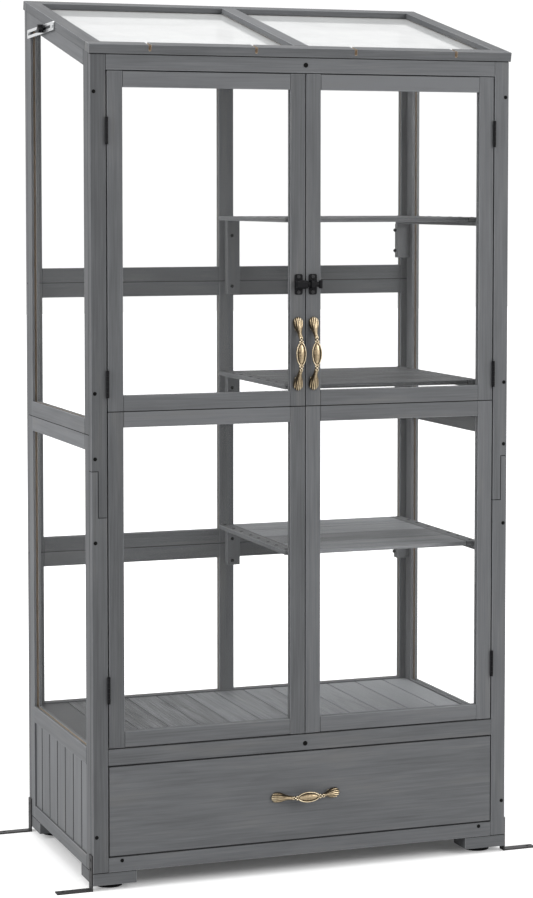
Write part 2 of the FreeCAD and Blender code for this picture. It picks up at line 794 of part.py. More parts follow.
thumb_x = plate_end + thumb_r
bolt = rod(bolt_r, thumb_x - edge_x, (edge_x, bolt_y, latch_z), (1, 0, 0))
write("latch_bolt", [bolt])
thumb = rod(thumb_r, thumb_h, (thumb_x, -thumb_stand_off, latch_z - thumb_h / 2), (0, 0, 1))
rim = [e for e in thumb.Edges if e.Curve.TypeId == "Part::GeomCircle"]
thumb = thumb.makeFillet(thumb_r / 2, rim)
write("latch_thumb_piece", [thumb.cut(bolt)])


# Cast pulls: fans at both ends, a bead pair and an oval in the middle
def oval_wire(centre, wide, thick):
    """A level oval section for a loft along Z, never deeper than it is wide."""
    shape = Part.Wire(Part.Ellipse(Vector(0, 0, 0), wide / 2, min(thick, wide) / 2).toShape())
    shape.translate(Vector(*centre))
    return shape


def pull_half():
    """Upper half of a pull, standing along +Z with the wood at Y = 0."""
    top = pull_len / 2
    out = pull_rise
    fan_start = top - pull_fan_len
    neck = pull_neck_w
    grip_y = -out - pull_oval_t / 2
    # (z, y, width, thickness)
    grip = (
        (0, grip_y, pull_oval_w, pull_oval_t),
        (pull_oval_len * 0.3, grip_y, pull_oval_w * 0.82, pull_oval_t * 0.94),
        (pull_oval_len * 0.5, grip_y + 0.6, neck, neck * 0.9),
    )
    arm = (
        (pull_oval_len * 0.5, grip_y + 0.6, neck, neck * 0.9),
        (pull_oval_len * 0.5 + 5, grip_y + 2.4, neck, neck),
        (fan_start + 1, -out * 0.42, neck, neck),
        (fan_start + 7, -neck * 0.55, neck * 1.15, neck),
    )
    body = Part.makeLoft([oval_wire((0, y, z), w, t) for z, y, w, t in grip], True, False)
    body = body.fuse(Part.makeLoft([oval_wire((0, y, z), w, t) for z, y, w, t in arm], True, True))
    bead = Part.makeSphere(neck * 0.62, Vector(0, grip_y + 0.6, pull_oval_len * 0.5 + 1.5))
    body = body.fuse(bead)
    spread = math.degrees(math.atan2(pull_fan_w / 2, pull_fan_len))
    for k in range(5):
        angle = math.radians(spread) * (k - 2) / 2 * 1.05
        reach = pull_fan_len * (0.97 - 0.05 * abs(k - 2))
        start = Vector(0, -neck * 0.55, fan_start + 2)
        tip_r = pull_fan_w / 8.2
        way = Vector(math.sin(angle), 0, math.cos(angle))
        petal = Part.makeCone(neck / 4, tip_r, reach - tip_r, start, way)
        end = start + way * (reach - tip_r)
        petal = petal.fuse(Part.makeSphere(tip_r, end))
        body = body.fuse(petal)
    wood_side = box(-pull_fan_w, pull_fan_w, 0, pull_fan_w, -1, top + 1)
    return body.cut(wood_side)


def pull():
    upper = pull_half()
    lower = upper.copy()
    lower.rotate(Vector(0, 0, 0), Vector(0, 1, 0), 180)
    return upper.fuse(lower).removeSplitter()


upright_pull = pull()
for side, word in ((-1, "left"), (1, "right")):
    handle = upright_pull.copy()
    handle.translate(Vector(side * door_pull_x, 0, door_pull_z))
    write(word + "_door_pull", [handle])
level_pull = upright_pull.copy()
level_pull.rotate(Vector(0, 0, 0), Vector(0, 1, 0), 90)
level_pull.translate(Vector(0, 0, (drawer_z0 + drawer_z1) / 2))
write("drawer_pull", [level_pull])

# Shelves: slats between two end boards, carried by a ledger and blocks
shelf_back_y = back_in - shelf_back_gap
supports = []
for i, name in enumerate(shelf_names):
    top = shelf_tops[i]
    under = top - shelf_t
    ends = []
    for x0 in (shelf_left_x, shelf_right_x - shelf_end_w):
        ends.append(box(x0, x0 + shelf_end_w, shelf_front_y, shelf_back_y, under, top))
    write(name + "_ends", ends)
    slat_pitch = (shelf_back_y - shelf_front_y + shelf_slat_gap) / shelf_slats
    x0, x1 = shelf_left_x + shelf_end_w, shelf_right_x - shelf_end_w
    slats = []
    for k in range(shelf_slats):
        y0 = shelf_front_y + k * slat_pitch
        slats.append(box(x0, x1, y0, y0 + slat_pitch - shelf_slat_gap, under, top))
    write(name + "_slats", slats)
    # Ledger on the right-hand wall
    y0 = timber_t + ledger_front_gap
    supports.append(box(side_in - ledger_w, side_in, y0, back_in, under - ledger_h, under))
    # Block on the mullion, and block in the right-hand back corner
    y0, y1 = back_in - shelf_block_t, back_in
    x0 = left_block_shift - shelf_block_w / 2
    supports.append(box(x0, x0 + shelf_block_w, y0, y1, under - left_block_hs[i], under))
    low = under - ledger_h - right_block_h
    supports.append(box(side_in - shelf_block_w, side_in, y0, y1, low, under - ledger_h))
write("shelf_supports", supports)

# Roof
roof_x = half_w + roof_side_lap
roof_len = roof_back_run
rg0, rg1 = roof_groove_up, roof_groove_up + groove_w


def roof_cross_rail(y0, y1, groove_at_start, drains):
    rail = box(-roof_x, roof_x, y0, y1, 0, roof_t)
    gy0, gy1 = (y0, y0 + groove_d) if groove_at_start else (y1 - groove_d, y1)
    gx = roof_x - roof_groove_stop
    rail = rail.cut(box(-gx, gx, gy0, gy1, rg0, rg1))
    if drains:
        for x in drain_xs:
            round_r = drain_w / 2
            low = roof_t - drain_d + round_r
            slot = box(x - round_r, x + round_r, y0, y1, low, roof_t)
            rail = rail.cut(slot.fuse(rod(round_r, y1 - y0, (x, y0, low), (0, 1, 0))))
    return rail


def roof_slope_rail(x0, x1, grooves):
    y0, y1 = roof_rail_w, roof_len - roof_rail_w
    rail = box(x0, x1, y0, y1, 0, roof_t)
    if "low" in grooves:
        rail = rail.cut(box(x0, x0 + groove_d, y0, y1, rg0, rg1))
    if "high" in grooves:
        rail = rail.cut(box(x1 - groove_d, x1, y0, y1, rg0, rg1))
    reach = groove_d - tongue_play
    tx0 = x0 + (groove_d if "low" in grooves else roof_groove_stop + tongue_play)
    tx1 = x1 - (groove_d if "high" in grooves else roof_groove_stop + tongue_play)
    tongue = box(tx0, tx1, y0 - reach, y1 + reach, rg0 + tongue_play, rg1 - tongue_play)
    return rail.fuse(tongue).removeSplitter()


write("roof_front_rail", [to_roof(roof_cross_rail(0, roof_rail_w, False, True))])
write("roof_back_rail", [to_roof(roof_cross_rail(roof_len - roof_rail_w, roof_len, True, False))])
side_rails = [roof_slope_rail(-roof_x, -roof_x + roof_rail_w, ("high",))]
side_rails.append(roof_slope_rail(roof_x - roof_rail_w, roof_x, ("low",)))
write("roof_side_rails", [to_roof(s) for s in side_rails])
write("roof_centre_bar", [to_roof(roof_slope_rail(-roof_bar_w / 2, roof_bar_w / 2, ("low", "high")))])
roof_panes = []
for x0, x1 in ((-roof_x + roof_rail_w, -roof_bar_w / 2), (roof_bar_w / 2, roof_x - roof_rail_w)):
    y0, y1 = roof_rail_w - pane_reach, roof_len - roof_rail_w + pane_reach
    low = rg0 + fit_gap
    roof_panes.append(to_roof(box(x0 - pane_reach, x1 + pane_reach, y0, y1, low, low + pane_t)))
write("roof_panes", roof_panes)

# Roof stay on the left: a slotted bar from the roof to a stud in the side wall
pivot_y = stud_y - stay_reach
pivot_z = wall_top(pivot_y) + roof_gap / math.cos(pitch) + stay_pivot_up
stay_tilt = math.degrees(math.atan2(stud_z - pivot_z, stud_y - pivot_y))
bar_x0 = -half_w - roof_side_lap - stay_wall_gap - stay_t
bar_x1 = bar_x0 + stay_t


def rounded_bar(y0, y1, width, x0, x1):
    """A bar along Y with round ends, centred on Z = 0."""
    r = width / 2
    bar = box(x0, x1, y0 + r, y1 - r, -r, r)
    for y in (y0 + r, y1 - r):
        bar = bar.fuse(rod(r, x1 - x0, (x0, y, 0), (1, 0, 0)))
    return bar.removeSplitter()


def on_stay(shape):
    """Place a shape from the bar's own frame: the pivot at the origin, the tail along +Y."""
    placed = shape.copy()
    turn = Rotation(Vector(1, 0, 0), stay_tilt)
    placed.Placement = Placement(Vector(0, pivot_y, pivot_z), turn)
    return placed


bar = box(bar_x0, bar_x1, -stay_end, stay_tail, -stay_w / 2, stay_w / 2)
bar = bar.makeFillet(stay_corner, [e for e in bar.Edges if abs(e.tangentAt(0).x) > 0.5])
slot_start = stay_end + stay_slot_w
bar = bar.cut(rounded_bar(slot_start, stay_tail - stay_tail_wall, stay_slot_w, bar_x0, bar_x1))
head = rod(rivet_r, rivet_h, (bar_x0 - rivet_h, 0, 0), (1, 0, 0))
washer = rod(rivet_r, bar_x1 + stay_wall_gap - fit_gap - bar_x0, (bar_x0, 0, 0), (1, 0, 0))
write("stay_bar", [on_stay(bar.fuse([head, washer]).removeSplitter())])

stud_end = -half_w + stay_stud_depth
stud_start = bar_x0 - fit_gap - knob_h
knob_spot = (stud_start, stud_y, stud_z)
knob = rod(knob_r * 0.62, knob_h, knob_spot, (1, 0, 0))
for k in range(knob_lobes):
    angle = 2 * math.pi * k / knob_lobes + math.pi / 2
    y = stud_y + knob_r * 0.58 * math.cos(angle)
    z = stud_z + knob_r * 0.58 * math.sin(angle)
    knob = knob.fuse(rod(knob_r * 0.42, knob_h, (stud_start, y, z), (1, 0, 0)))
knob = knob.fuse(rod(stay_stud_r, stud_end - stud_start, knob_spot, (1, 0, 0)))
write("stay_knob", [knob.removeSplitter()])

# Feet: a block and a pad under each corner, and the ground anchors
blocks, pads, anchors = [], [], []
for sx in (-1, 1):
    for y_edge, sy in ((0, 1), (body_d, -1)):
        x_edge = sx * half_w
        c = block_chamfer
        s = block_side
        outline = [(0, 0), (s, 0), (s, s - c), (s - c, s), (0, s)]
        outline = [(x_edge - sx * px, y_edge + sy * py) for px, py in outline]
        blocks.append(prism_z(outline, pad_h, base_z))
        spot = (x_edge - sx * s / 2, y_edge + sy * s / 2, 0)
        pads.append(rod(pad_r, pad_h, spot, (0, 0, 1)))
    for y in (anchor_in, body_d - anchor_in):
        x0 = sx * half_w
        outline = [(x0, 0), (x0 + sx * anchor_leg, 0), (x0 + sx * anchor_leg, anchor_t)]
        outline += [(x0 + sx * anchor_t, anchor_t), (x0 + sx * anchor_t, anchor_up), (x0, anchor_up)]
        anchor = prism_y(outline, y - anchor_w / 2, y + anchor_w / 2)
        hole_x = x0 + sx * (anchor_leg - anchor_hole_in)
        anchors.append(anchor.cut(rod(anchor_hole_r, anchor_t, (hole_x, y, 0), (0, 0, 1))))
write("corner_blocks", blocks)
write("foot_pads", pads)
write("ground_anchors", anchors)
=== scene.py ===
# %% [markdown]
# Wooden mini greenhouse: dressing the CAD frame in Blender.
# The cabinet is softwood under a thin grey stain, with clear panes, cast brass
# pulls, a black slide bolt and a slotted steel stay. The CAD model is loaded as
# a fixed frame. Its wooden pieces are copied so that their edges can be eased
# and their grain can run along each member, the cast pulls are modelled in full,
# and everything rides on the body that the CAD names for it.

# %% Load the frame
import json
import math
import random

import bmesh
import bpy
from mathutils import Matrix, Vector
from mathutils.bvhtree import BVHTree


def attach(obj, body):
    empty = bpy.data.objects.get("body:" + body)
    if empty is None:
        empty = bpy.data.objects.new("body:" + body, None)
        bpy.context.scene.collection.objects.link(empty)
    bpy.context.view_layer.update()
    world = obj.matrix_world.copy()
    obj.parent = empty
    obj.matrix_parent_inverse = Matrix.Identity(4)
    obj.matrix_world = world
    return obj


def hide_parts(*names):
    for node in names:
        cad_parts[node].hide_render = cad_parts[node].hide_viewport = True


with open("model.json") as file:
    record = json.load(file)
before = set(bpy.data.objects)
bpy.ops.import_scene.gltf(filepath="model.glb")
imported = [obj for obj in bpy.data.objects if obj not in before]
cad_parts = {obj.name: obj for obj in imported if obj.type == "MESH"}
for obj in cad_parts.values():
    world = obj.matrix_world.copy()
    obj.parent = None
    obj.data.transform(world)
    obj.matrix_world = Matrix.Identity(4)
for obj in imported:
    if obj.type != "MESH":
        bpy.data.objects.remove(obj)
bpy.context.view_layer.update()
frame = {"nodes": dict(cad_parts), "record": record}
nodes = frame["nodes"]
body_of_node = {n: b for b, names in frame["record"]["behaviour"]["bodies"].items() for n in names}
mm = 0.001
print("CAD nodes:", len(nodes))

# %% [markdown]
# The view. The photograph was taken from the left, a little above the height of
# the upper shelf, with a long lens. Upright edges stay almost upright in it. A
# camera that tilts down to centre the cabinet would make them lean, so this one
# looks nearly level and a small shift moves the picture into the frame. Its
# numbers were fitted to the photograph's straight edges.

# %% Camera
PHOTO_HEIGHT = 898
FOCAL_PIXELS = 2437.5
CENTRE_SHIFT_PIXELS = -100.7
LOOK_DOWN, LOOK_RIGHT = math.radians(3.62), math.radians(19.82)
camera_data = bpy.data.cameras.new("Camera")
camera = bpy.data.objects.new("Camera", camera_data)
bpy.context.collection.objects.link(camera)
camera.location = (-1.5503, -4.3221, 1.2322)
camera.rotation_euler = (math.radians(90) - LOOK_DOWN, 0, -LOOK_RIGHT)
camera_data.sensor_width = 36
camera_data.lens = FOCAL_PIXELS * camera_data.sensor_width / PHOTO_HEIGHT
camera_data.shift_y = CENTRE_SHIFT_PIXELS / PHOTO_HEIGHT
camera_data.clip_end = 60
bpy.context.scene.camera = camera
print("lens", round(camera_data.lens, 1))

# %% [markdown]
# The world and the materials are trees of nodes. Each node could be wired by
# hand, but the same few steps come back everywhere, so three small helpers do
# them: a fresh material, a sum, and a map from one range to another.

# %% Helpers for node trees
def new_material(name):
    """A material with only a Principled shader, ready for its textures."""
    material = bpy.data.materials.new(name)
    material.use_nodes = True
    return material, material.node_tree, material.node_tree.nodes["Principled BSDF"]


def math_node(tree, operation, a, b=None, clamp=False):
    node = tree.nodes.new("ShaderNodeMath")
    node.operation = operation
    node.use_clamp = clamp
    for socket, value in zip(node.inputs, (a, b)):
        if value is None:
            continue
        if isinstance(value, (int, float)):
            socket.default_value = value
        else:
            tree.links.new(value, socket)
    return node.outputs[0]


def ramp_node(tree, value, low, high, out_low=0.0, out_high=1.0):
    """Map a value from one range to another, held at the ends."""
    node = tree.nodes.new("ShaderNodeMapRange")
    node.interpolation_type = "SMOOTHSTEP"
    tree.links.new(value, node.inputs["Value"])
    for label, amount in (("From Min", low), ("From Max", high),
                          ("To Min", out_low), ("To Max", out_high)):
        node.inputs[label].default_value = amount
    return node.outputs["Result"]


print("node helpers ready")

# %% [markdown]
# The studio. The photograph has soft shadows and no bright spots, so broad lamps
# were chosen, not small ones. One on the left lights the side wall a little more
# than the front, a weaker one fills in from the front right, one hangs above,
# and the world gives an even glow. The white of the backdrop is seen only by the
# camera, in reflections and through the panes, so it adds no light to the wood.

# %% World and lamps
GLOW, BACKDROP = 0.40, 1.06
bpy.context.scene.view_settings.view_transform = "Standard"
world = bpy.data.worlds.new("Studio")
bpy.context.scene.world = world
world.use_nodes = True
tree = world.node_tree
tree.nodes.clear()
path = tree.nodes.new("ShaderNodeLightPath")
seen = math_node(tree, "MAXIMUM", path.outputs["Is Camera Ray"], path.outputs["Is Glossy Ray"])
seen = math_node(tree, "MAXIMUM", seen, path.outputs["Is Transmission Ray"])
mix = tree.nodes.new("ShaderNodeMixShader")
tree.links.new(seen, mix.inputs["Fac"])
for strength, socket in ((GLOW, mix.inputs[1]), (BACKDROP, mix.inputs[2])):
    light = tree.nodes.new("ShaderNodeBackground")
    light.inputs["Color"].default_value = (1, 1, 1, 1)
    light.inputs["Strength"].default_value = strength
    tree.links.new(light.outputs[0], socket)
out = tree.nodes.new("ShaderNodeOutputWorld")
tree.links.new(mix.outputs[0], out.inputs["Surface"])


def soft_lamp(name, place, aim, size, watts):
    data = bpy.data.lights.new(name, "AREA")
    data.shape = "RECTANGLE"
    data.size, data.size_y = size
    data.energy = watts
    lamp = bpy.data.objects.new(name, data)
    bpy.context.collection.objects.link(lamp)
    lamp.location = place
    lamp.rotation_euler = (Vector(aim) - Vector(place)).to_track_quat("-Z", "Y").to_euler()


soft_lamp("Left bank", (-4.2, -0.5, 2.3), (0, 0, 0.7), (2.6, 3.2), 148)
soft_lamp("Front fill", (3.0, -3.4, 2.4), (0, 0, 0.7), (3.0, 2.4), 112)
soft_lamp("Top bank", (0.2, 0.2, 4.2), (0, 0, 0), (3.0, 2.0), 62)

# %% [markdown]
# The floor is a plain white sweep that goes on past the view. White paint alone
# would turn grey far from the lamps, so to the camera it also glows: fully far
# away, where it has to meet the white backdrop, less close to the cabinet and
# hardly at all under it, so that the shadow at the feet stays.

# %% Floor
HALF_WIDTH, HALF_DEPTH = 0.40, 0.228
UNDER_GLOW, NEAR_GLOW, FAR_GLOW = 0.06, 0.50, 0.45
floor_material, tree, shader = new_material("White sweep")
shader.inputs["Base Color"].default_value = (0.86, 0.86, 0.86, 1)
shader.inputs["Roughness"].default_value = 0.9
shader.inputs["Specular IOR Level"].default_value = 0.1
coords = tree.nodes.new("ShaderNodeTexCoord")
split = tree.nodes.new("ShaderNodeSeparateXYZ")
tree.links.new(coords.outputs["Object"], split.inputs[0])
beside = math_node(tree, "SUBTRACT", math_node(tree, "ABSOLUTE", split.outputs["X"]), HALF_WIDTH)
before = math_node(tree, "SUBTRACT", math_node(tree, "ABSOLUTE", split.outputs["Y"]), HALF_DEPTH)
away = math_node(tree, "MAXIMUM", beside, before)
near = ramp_node(tree, away, -0.06, 0.035, UNDER_GLOW, NEAR_GLOW)
far = ramp_node(tree, away, 0.3, 2.8, 0.0, FAR_GLOW)
lift = tree.nodes.new("ShaderNodeEmission")
lift.inputs["Color"].default_value = (1, 1, 1, 1)
tree.links.new(math_node(tree, "ADD", near, far), lift.inputs["Strength"])
both = tree.nodes.new("ShaderNodeAddShader")
choose = tree.nodes.new("ShaderNodeMixShader")
path = tree.nodes.new("ShaderNodeLightPath")
tree.links.new(shader.outputs[0], both.inputs[0])
tree.links.new(lift.outputs[0], both.inputs[1])
tree.links.new(path.outputs["Is Camera Ray"], choose.inputs["Fac"])
tree.links.new(shader.outputs[0], choose.inputs[1])
tree.links.new(both.outputs[0], choose.inputs[2])
tree.links.new(choose.outputs[0], tree.nodes["Material Output"].inputs["Surface"])

bpy.ops.mesh.primitive_plane_add(size=40, location=(0, 0, 0))
floor = bpy.context.object
floor.name = "floor"
floor.data.materials.append(floor_material)
print("floor ready")

# %% [markdown]
# The frame's nodes come as loose triangles. That is enough to show them, but an
# edge can only be rounded where two faces share it. So the wooden nodes are
# copied, and each copy is joined into closed solids with large flat faces. A
# plain merge by distance would also join sticks that only touch.

# %% Closed solids from loose triangles
def islands(bm):
    """The separate solids of a mesh, as lists of vertices."""
    left, groups = set(bm.verts), []
    while left:
        seed = left.pop()
        group, front = [seed], [seed]
        while front:
            vertex = front.pop()
            for edge in vertex.link_edges:
                other = edge.other_vert(vertex)
                if other in left:
                    left.remove(other)
                    group.append(other)
                    front.append(other)
        groups.append(group)
    groups.sort(key=lambda g: tuple(round(min(v.co[i] for v in g), 5) for i in range(3)))
    return groups


def solid_copy(node):
    """The node's loose triangles joined into closed solids, each with clean faces.

    Triangles come solid by solid. A solid is whole once every edge has been met
    from both sides, and the next one then starts with fresh corners, so that
    sticks which touch each other are never joined.
    """
    source = nodes[node].data
    bm = bmesh.new()
    corners, unmet = {}, set()
    for polygon in source.polygons:
        keys = []
        for index in polygon.vertices:
            place = source.vertices[index].co
            key = tuple(round(c * 1e6) for c in place)
            if key not in corners:
                corners[key] = bm.verts.new(place)
            keys.append(key)
        if len(set(keys)) < len(keys):
            continue
        bm.faces.new([corners[key] for key in keys])
        for a, b in zip(keys, keys[1:] + keys[:1]):
            unmet.symmetric_difference_update({(a, b)} if (b, a) not in unmet else {(b, a)})
        if not unmet:
            corners = {}
    bm.normal_update()
    bmesh.ops.dissolve_limit(bm, angle_limit=math.radians(1), verts=bm.verts, edges=bm.edges)
    bm.verts.layers.float_vector.new("grain")
    bm.verts.layers.float.new("tone_and_painted_light")
    bm.faces.layers.int.new("stick")
    bm.edges.layers.float.new("seam")
    bm.edges.layers.float.new("arris")
    return bm


trial = solid_copy("drawer_front")
triangles = len(nodes["drawer_front"].data.polygons)
print("drawer front:", triangles, "triangles become", len(trial.faces), "faces")
trial.free()

# %% [markdown]
# Wood needs a direction. Texture in plain object coordinates would run the same way through every
# stick, and unwrapping them all would be slow. But each stick is straight, so its longest edge
# gives the way its fibres run. It gets its own coordinates from that, along the grain first, then
# across, and moved by a chance amount so that no two sticks show the same figure. They are kept on
# the mesh as an attribute called grain. A second attribute makes some sticks a shade lighter or
# darker, partly as tone that differs at random and partly as painted light. The floor boards are
# painted lighter the further right they lie, and the right front post lighter than the left, as
# painted light.

# %% Grain and tone for each stick
# Lightness of single nodes, partly painted light: the lower shelf lighter than the middle one is
# painted light.
LEANINGS = {
    "header_rail": 1.8, "base_bottom_rail": 2.2, "left_base_boards": 2.0,
    "left_side_rails": 0.3, "left_side_stiles": -1.6,
    "left_door_stiles": -0.8, "right_door_stiles": 0.3, "roof_side_rails": -1.6,
    "lower_shelf_slats": 1.0, "middle_shelf_slats": -3.0, "upper_shelf_slats": -1.6,
    "middle_shelf_ends": -3.2, "upper_shelf_ends": -2.0,
}
STICK_SPREAD, FLOOR_SPREAD = 0.9, 0.4


def lean(node, place):
    """How much lighter a stick is than the others, as far as the photograph shows it."""
    # Painted light: the floor boards lighter the further right they lie, the right front post
    # lighter than the left.
    if node == "floor_boards":
        return -2.6 + 6.0 * (place.x + 0.28) / 0.5
    if node.startswith("front_posts"):
        return 2.6 * place.x - 0.5
    if node.endswith("door_rails"):
        return 3.4 if place.z < 0.35 or place.z > 1.3 else 0.4
    return LEANINGS.get(node, 0.0)


def add_grain(node, bm, groups, chance):
    """Give each stick coordinates along, across and through it, and a lightness of its own, partly
    painted light.
    """
    share = FLOOR_SPREAD if node == "floor_boards" else 1.0
    grain = bm.verts.layers.float_vector["grain"]
    tone_and_painted_light = bm.verts.layers.float["tone_and_painted_light"]
    for group in groups:
        edges = {e for v in group for e in v.link_edges}
        longest = max(edges, key=lambda e: round(e.calc_length(), 6))
        along = (longest.verts[1].co - longest.verts[0].co).normalized()
        if max(along, key=abs) < 0:
            along.negate()
        side = Vector((0, 0, 1)) if abs(along.z) < 0.7 else Vector((1, 0, 0))
        across = along.cross(side).normalized()
        thick = along.cross(across)
        middle = sum((v.co for v in group), Vector()) / len(group)
        start = chance.uniform(0, 40), chance.uniform(-0.09, 0.09), chance.uniform(0.02, 0.12)
        # Random tone plus the stick's lean, which is partly painted light.
        shade = chance.gauss(0, STICK_SPREAD) * share + lean(node, middle)
        for v in group:
            p = v.co - middle
            v[grain] = Vector((p.dot(along), p.dot(across), p.dot(thick))) + Vector(start)
            v[tone_and_painted_light] = shade


print("nodes with a tone of their own:", len(LEANINGS))

# %% [markdown]
# Now all the wood is read. A joint shows where two sticks meet, so the script
# has to know what lies near an edge. Comparing every stick with every other
# would be slow. One search tree over all the faces finds the near ones at once,
# and a list beside it says which stick each face belongs to.

# %% Read all the wood
wooden = [s["node"] for s in frame["record"]["subparts"] if s["material_slot"] == "stained_wood"]
meshes, stick_of_face, all_points, all_faces = {}, [], [], []
chance = random.Random(11)
stick = 0
for node in wooden:
    bm = solid_copy(node)
    groups = islands(bm)
    add_grain(node, bm, groups, chance)
    owner = bm.faces.layers.int["stick"]
    for group in groups:
        for face in {f for v in group for f in v.link_faces}:
            face[owner] = stick
        stick += 1
    bm.verts.index_update()
    start = len(all_points)
    all_points += [v.co.copy() for v in bm.verts]
    for face in bm.faces:
        all_faces.append([start + v.index for v in face.verts])
        stick_of_face.append(face[owner])
    meshes[node] = bm
wood_tree = BVHTree.FromPolygons(all_points, all_faces)
print("wooden nodes:", len(meshes), "sticks:", stick)

# %% [markdown]
# What happens at an edge depends on what it touches. Where another stick stands against it there is
# a joint, which shows as a fine dark line. The narrow gap around the lid, the doors' rails and the
# drawer gets the same dark line as painted shade, and is looked for a little further out. A free
# edge has been rubbed and is a little paler. The angle of an edge doesn't tell these apart, but a
# look into the search tree does.

# %% Telling a joint from a free edge
SEAM_REACH, GAP_REACH = 1.1 * mm, 3.3 * mm
SHORTEST_EDGE, NARROWEST_FACE = 3 * mm, 2.2 * mm
STAINED, WORN, BARE, SEAM_AND_GAP_SHADE = range(4)


def mean_width(face):
    return face.calc_area() / max(e.calc_length() for e in face.edges)


def lies_against_other_stick(edge, own, reach):
    """True where most of the edge lies against another stick."""
    a, b = (v.co for v in edge.verts)
    hits = 0
    for t in (0.12, 0.5, 0.88):
        near = wood_tree.find_nearest_range(a.lerp(b, t), reach)
        hits += any(stick_of_face[index] != own for _, _, index, _ in near)
    return hits >= 2


def mark_edges(bm, reach):
    """Mark the sharp outer edges as free or as lying against another stick, which in a narrow gap
    gives painted shade, and count both.
    """
    seam = bm.edges.layers.float["seam"]
    arris = bm.edges.layers.float["arris"]
    owner = bm.faces.layers.int["stick"]
    counts = [0, 0]
    for edge in bm.edges:
        if len(edge.link_faces) != 2 or edge.calc_length() < SHORTEST_EDGE:
            continue
        if not edge.is_convex or edge.calc_face_angle(0) < math.radians(40):
            continue
        if min(mean_width(f) for f in edge.link_faces) < NARROWEST_FACE:
            continue
        if any(f.material_index == SEAM_AND_GAP_SHADE for f in edge.link_faces):
            continue
        # Near another stick the edge gets the dark line: a joint line at a joint, painted shade in
        # a narrow gap.
        joint_and_gap_shade = lies_against_other_stick(edge, edge.link_faces[0][owner], reach)
        edge[seam if joint_and_gap_shade else arris] = 1.0
        counts[joint_and_gap_shade] += 1
    return counts


print("reach for joints and gaps, in mm:", [round(r / mm, 1) for r in (SEAM_REACH, GAP_REACH)])

# %% [markdown]
# The glazing grooves of the walls and the lid's drain notches were cut after
# staining, so their walls are bare wood, while the doors and the right wall's
# rails were stained grooves and all. Painting them by hand would mean hundreds of
# faces. Instead each face looks straight ahead: if it soon meets the same stick
# again, it is the wall of a cut. The narrow sloping faces between tongued boards
# are found by their tilt.

# %% Finding grooves and notches
GROOVE_REACH, VEE_WIDTH = 6 * mm, 4 * mm
GROOVE_FLOOR, NOTCH_END = 4.6 * mm, 1.5 * mm


def mark_vees(bm):
    """The sloping faces between tongued boards lie in shade and hold the most stain."""
    sloping = [f for f in bm.faces if max(abs(c) for c in f.normal) < 0.95]
    sloping = [f for f in sloping if mean_width(f) < VEE_WIDTH]
    for face in sloping:
        face.material_index = SEAM_AND_GAP_SHADE
    return len(sloping)


def mark_cuts(bm, finish):
    """Find groove walls and notches, then their narrow floors and ends, and paint all of them."""
    bm.faces.ensure_lookup_table()
    owner = bm.faces.layers.int["stick"]
    own_tree = BVHTree.FromBMesh(bm)
    cut = set()
    for face in bm.faces:
        centre = face.calc_center_median_weighted()
        start = centre + face.normal * 1e-5
        _, normal, index, _ = own_tree.ray_cast(start, face.normal, GROOVE_REACH)
        if index is None or bm.faces[index][owner] != face[owner]:
            continue
        if normal.dot(face.normal) < -0.95:
            cut.update((face, bm.faces[index]))
    for _ in range(3):
        for face in bm.faces:
            if face in cut:
                continue
            beside = [f for e in face.edges for f in e.link_faces if f is not face]
            if any(f.normal.dot(face.normal) > 0.9999 for f in beside):
                continue
            touching = sum(1 for f in beside if f in cut)
            width = mean_width(face)
            if (touching >= 2 and width < GROOVE_FLOOR) or (touching and width < NOTCH_END):
                cut.add(face)
    for face in cut:
        face.material_index = finish
    return len(cut)


print("grooves are looked for up to", round(GROOVE_REACH / mm, 1), "mm wide")

# %% [markdown]
# Each wooden node is marked in turn: its sloping faces first, because they are
# dark already and need no edge marks, then its edges, then its cuts.

# %% Mark all the wood
DOOR_RAILS = ("left_door_rails", "right_door_rails")
GROOVED = ("stiles", "rails", "roof_front_rail", "roof_back_rail", "roof_centre_bar")
STAINED_GROOVES = DOOR_RAILS + ("left_door_stiles", "right_door_stiles", "right_side_rails")
BESIDE_GAPS = DOOR_RAILS + ("base_top_rail", "base_bottom_rail", "drawer_front")

for node, bm in meshes.items():
    sloping = mark_vees(bm) if node.endswith("boards") else 0
    # At the lid, the doors' rails and the drawer the search reaches across the narrow gaps, whose
    # dark line is painted shade.
    gap = node.startswith("roof") or node in BESIDE_GAPS
    free, joints_and_gaps = mark_edges(bm, GAP_REACH if gap else SEAM_REACH)
    groove_finish = WORN if node in STAINED_GROOVES else BARE
    cuts = mark_cuts(bm, groove_finish) if node.endswith(GROOVED) else 0

# %% [markdown]
# The grain itself. Softwood shows broad growth rings that run along the stick,
# with fine fibres and longer streaks between them, and takes stain in blotches.
# A picture of wood would repeat from stick to stick and blur close up. One node
# group makes all four from the stick's own coordinates instead, and the stained
# wood, its worn edges and the bare cut wood use it with their own strengths.

# %% Node group: softwood figure
FIGURE_OUTPUTS = ("Rings", "Fibres", "Streaks", "Blotches")
RING_SPACING, RING_DRIFT = 0.0045, 0.055
DRIFT_STRETCH, FIBRE_STRETCH = (1.1, 7, 7), (9, 700, 700)
STREAK_STRETCH, BLOTCH_STRETCH = (7, 210, 210), (5, 34, 34)


def new_group(name, inputs, outputs):
    group = bpy.data.node_groups.new(name, "ShaderNodeTree")
    for label, kind, value in inputs:
        socket = group.interface.new_socket(label, in_out="INPUT", socket_type=kind)
        if value is not None:
            socket.default_value = value
    for label, kind in outputs:
        group.interface.new_socket(label, in_out="OUTPUT", socket_type=kind)
    start = group.nodes.new("NodeGroupInput")
    end = group.nodes.new("NodeGroupOutput")
    return group, start, end


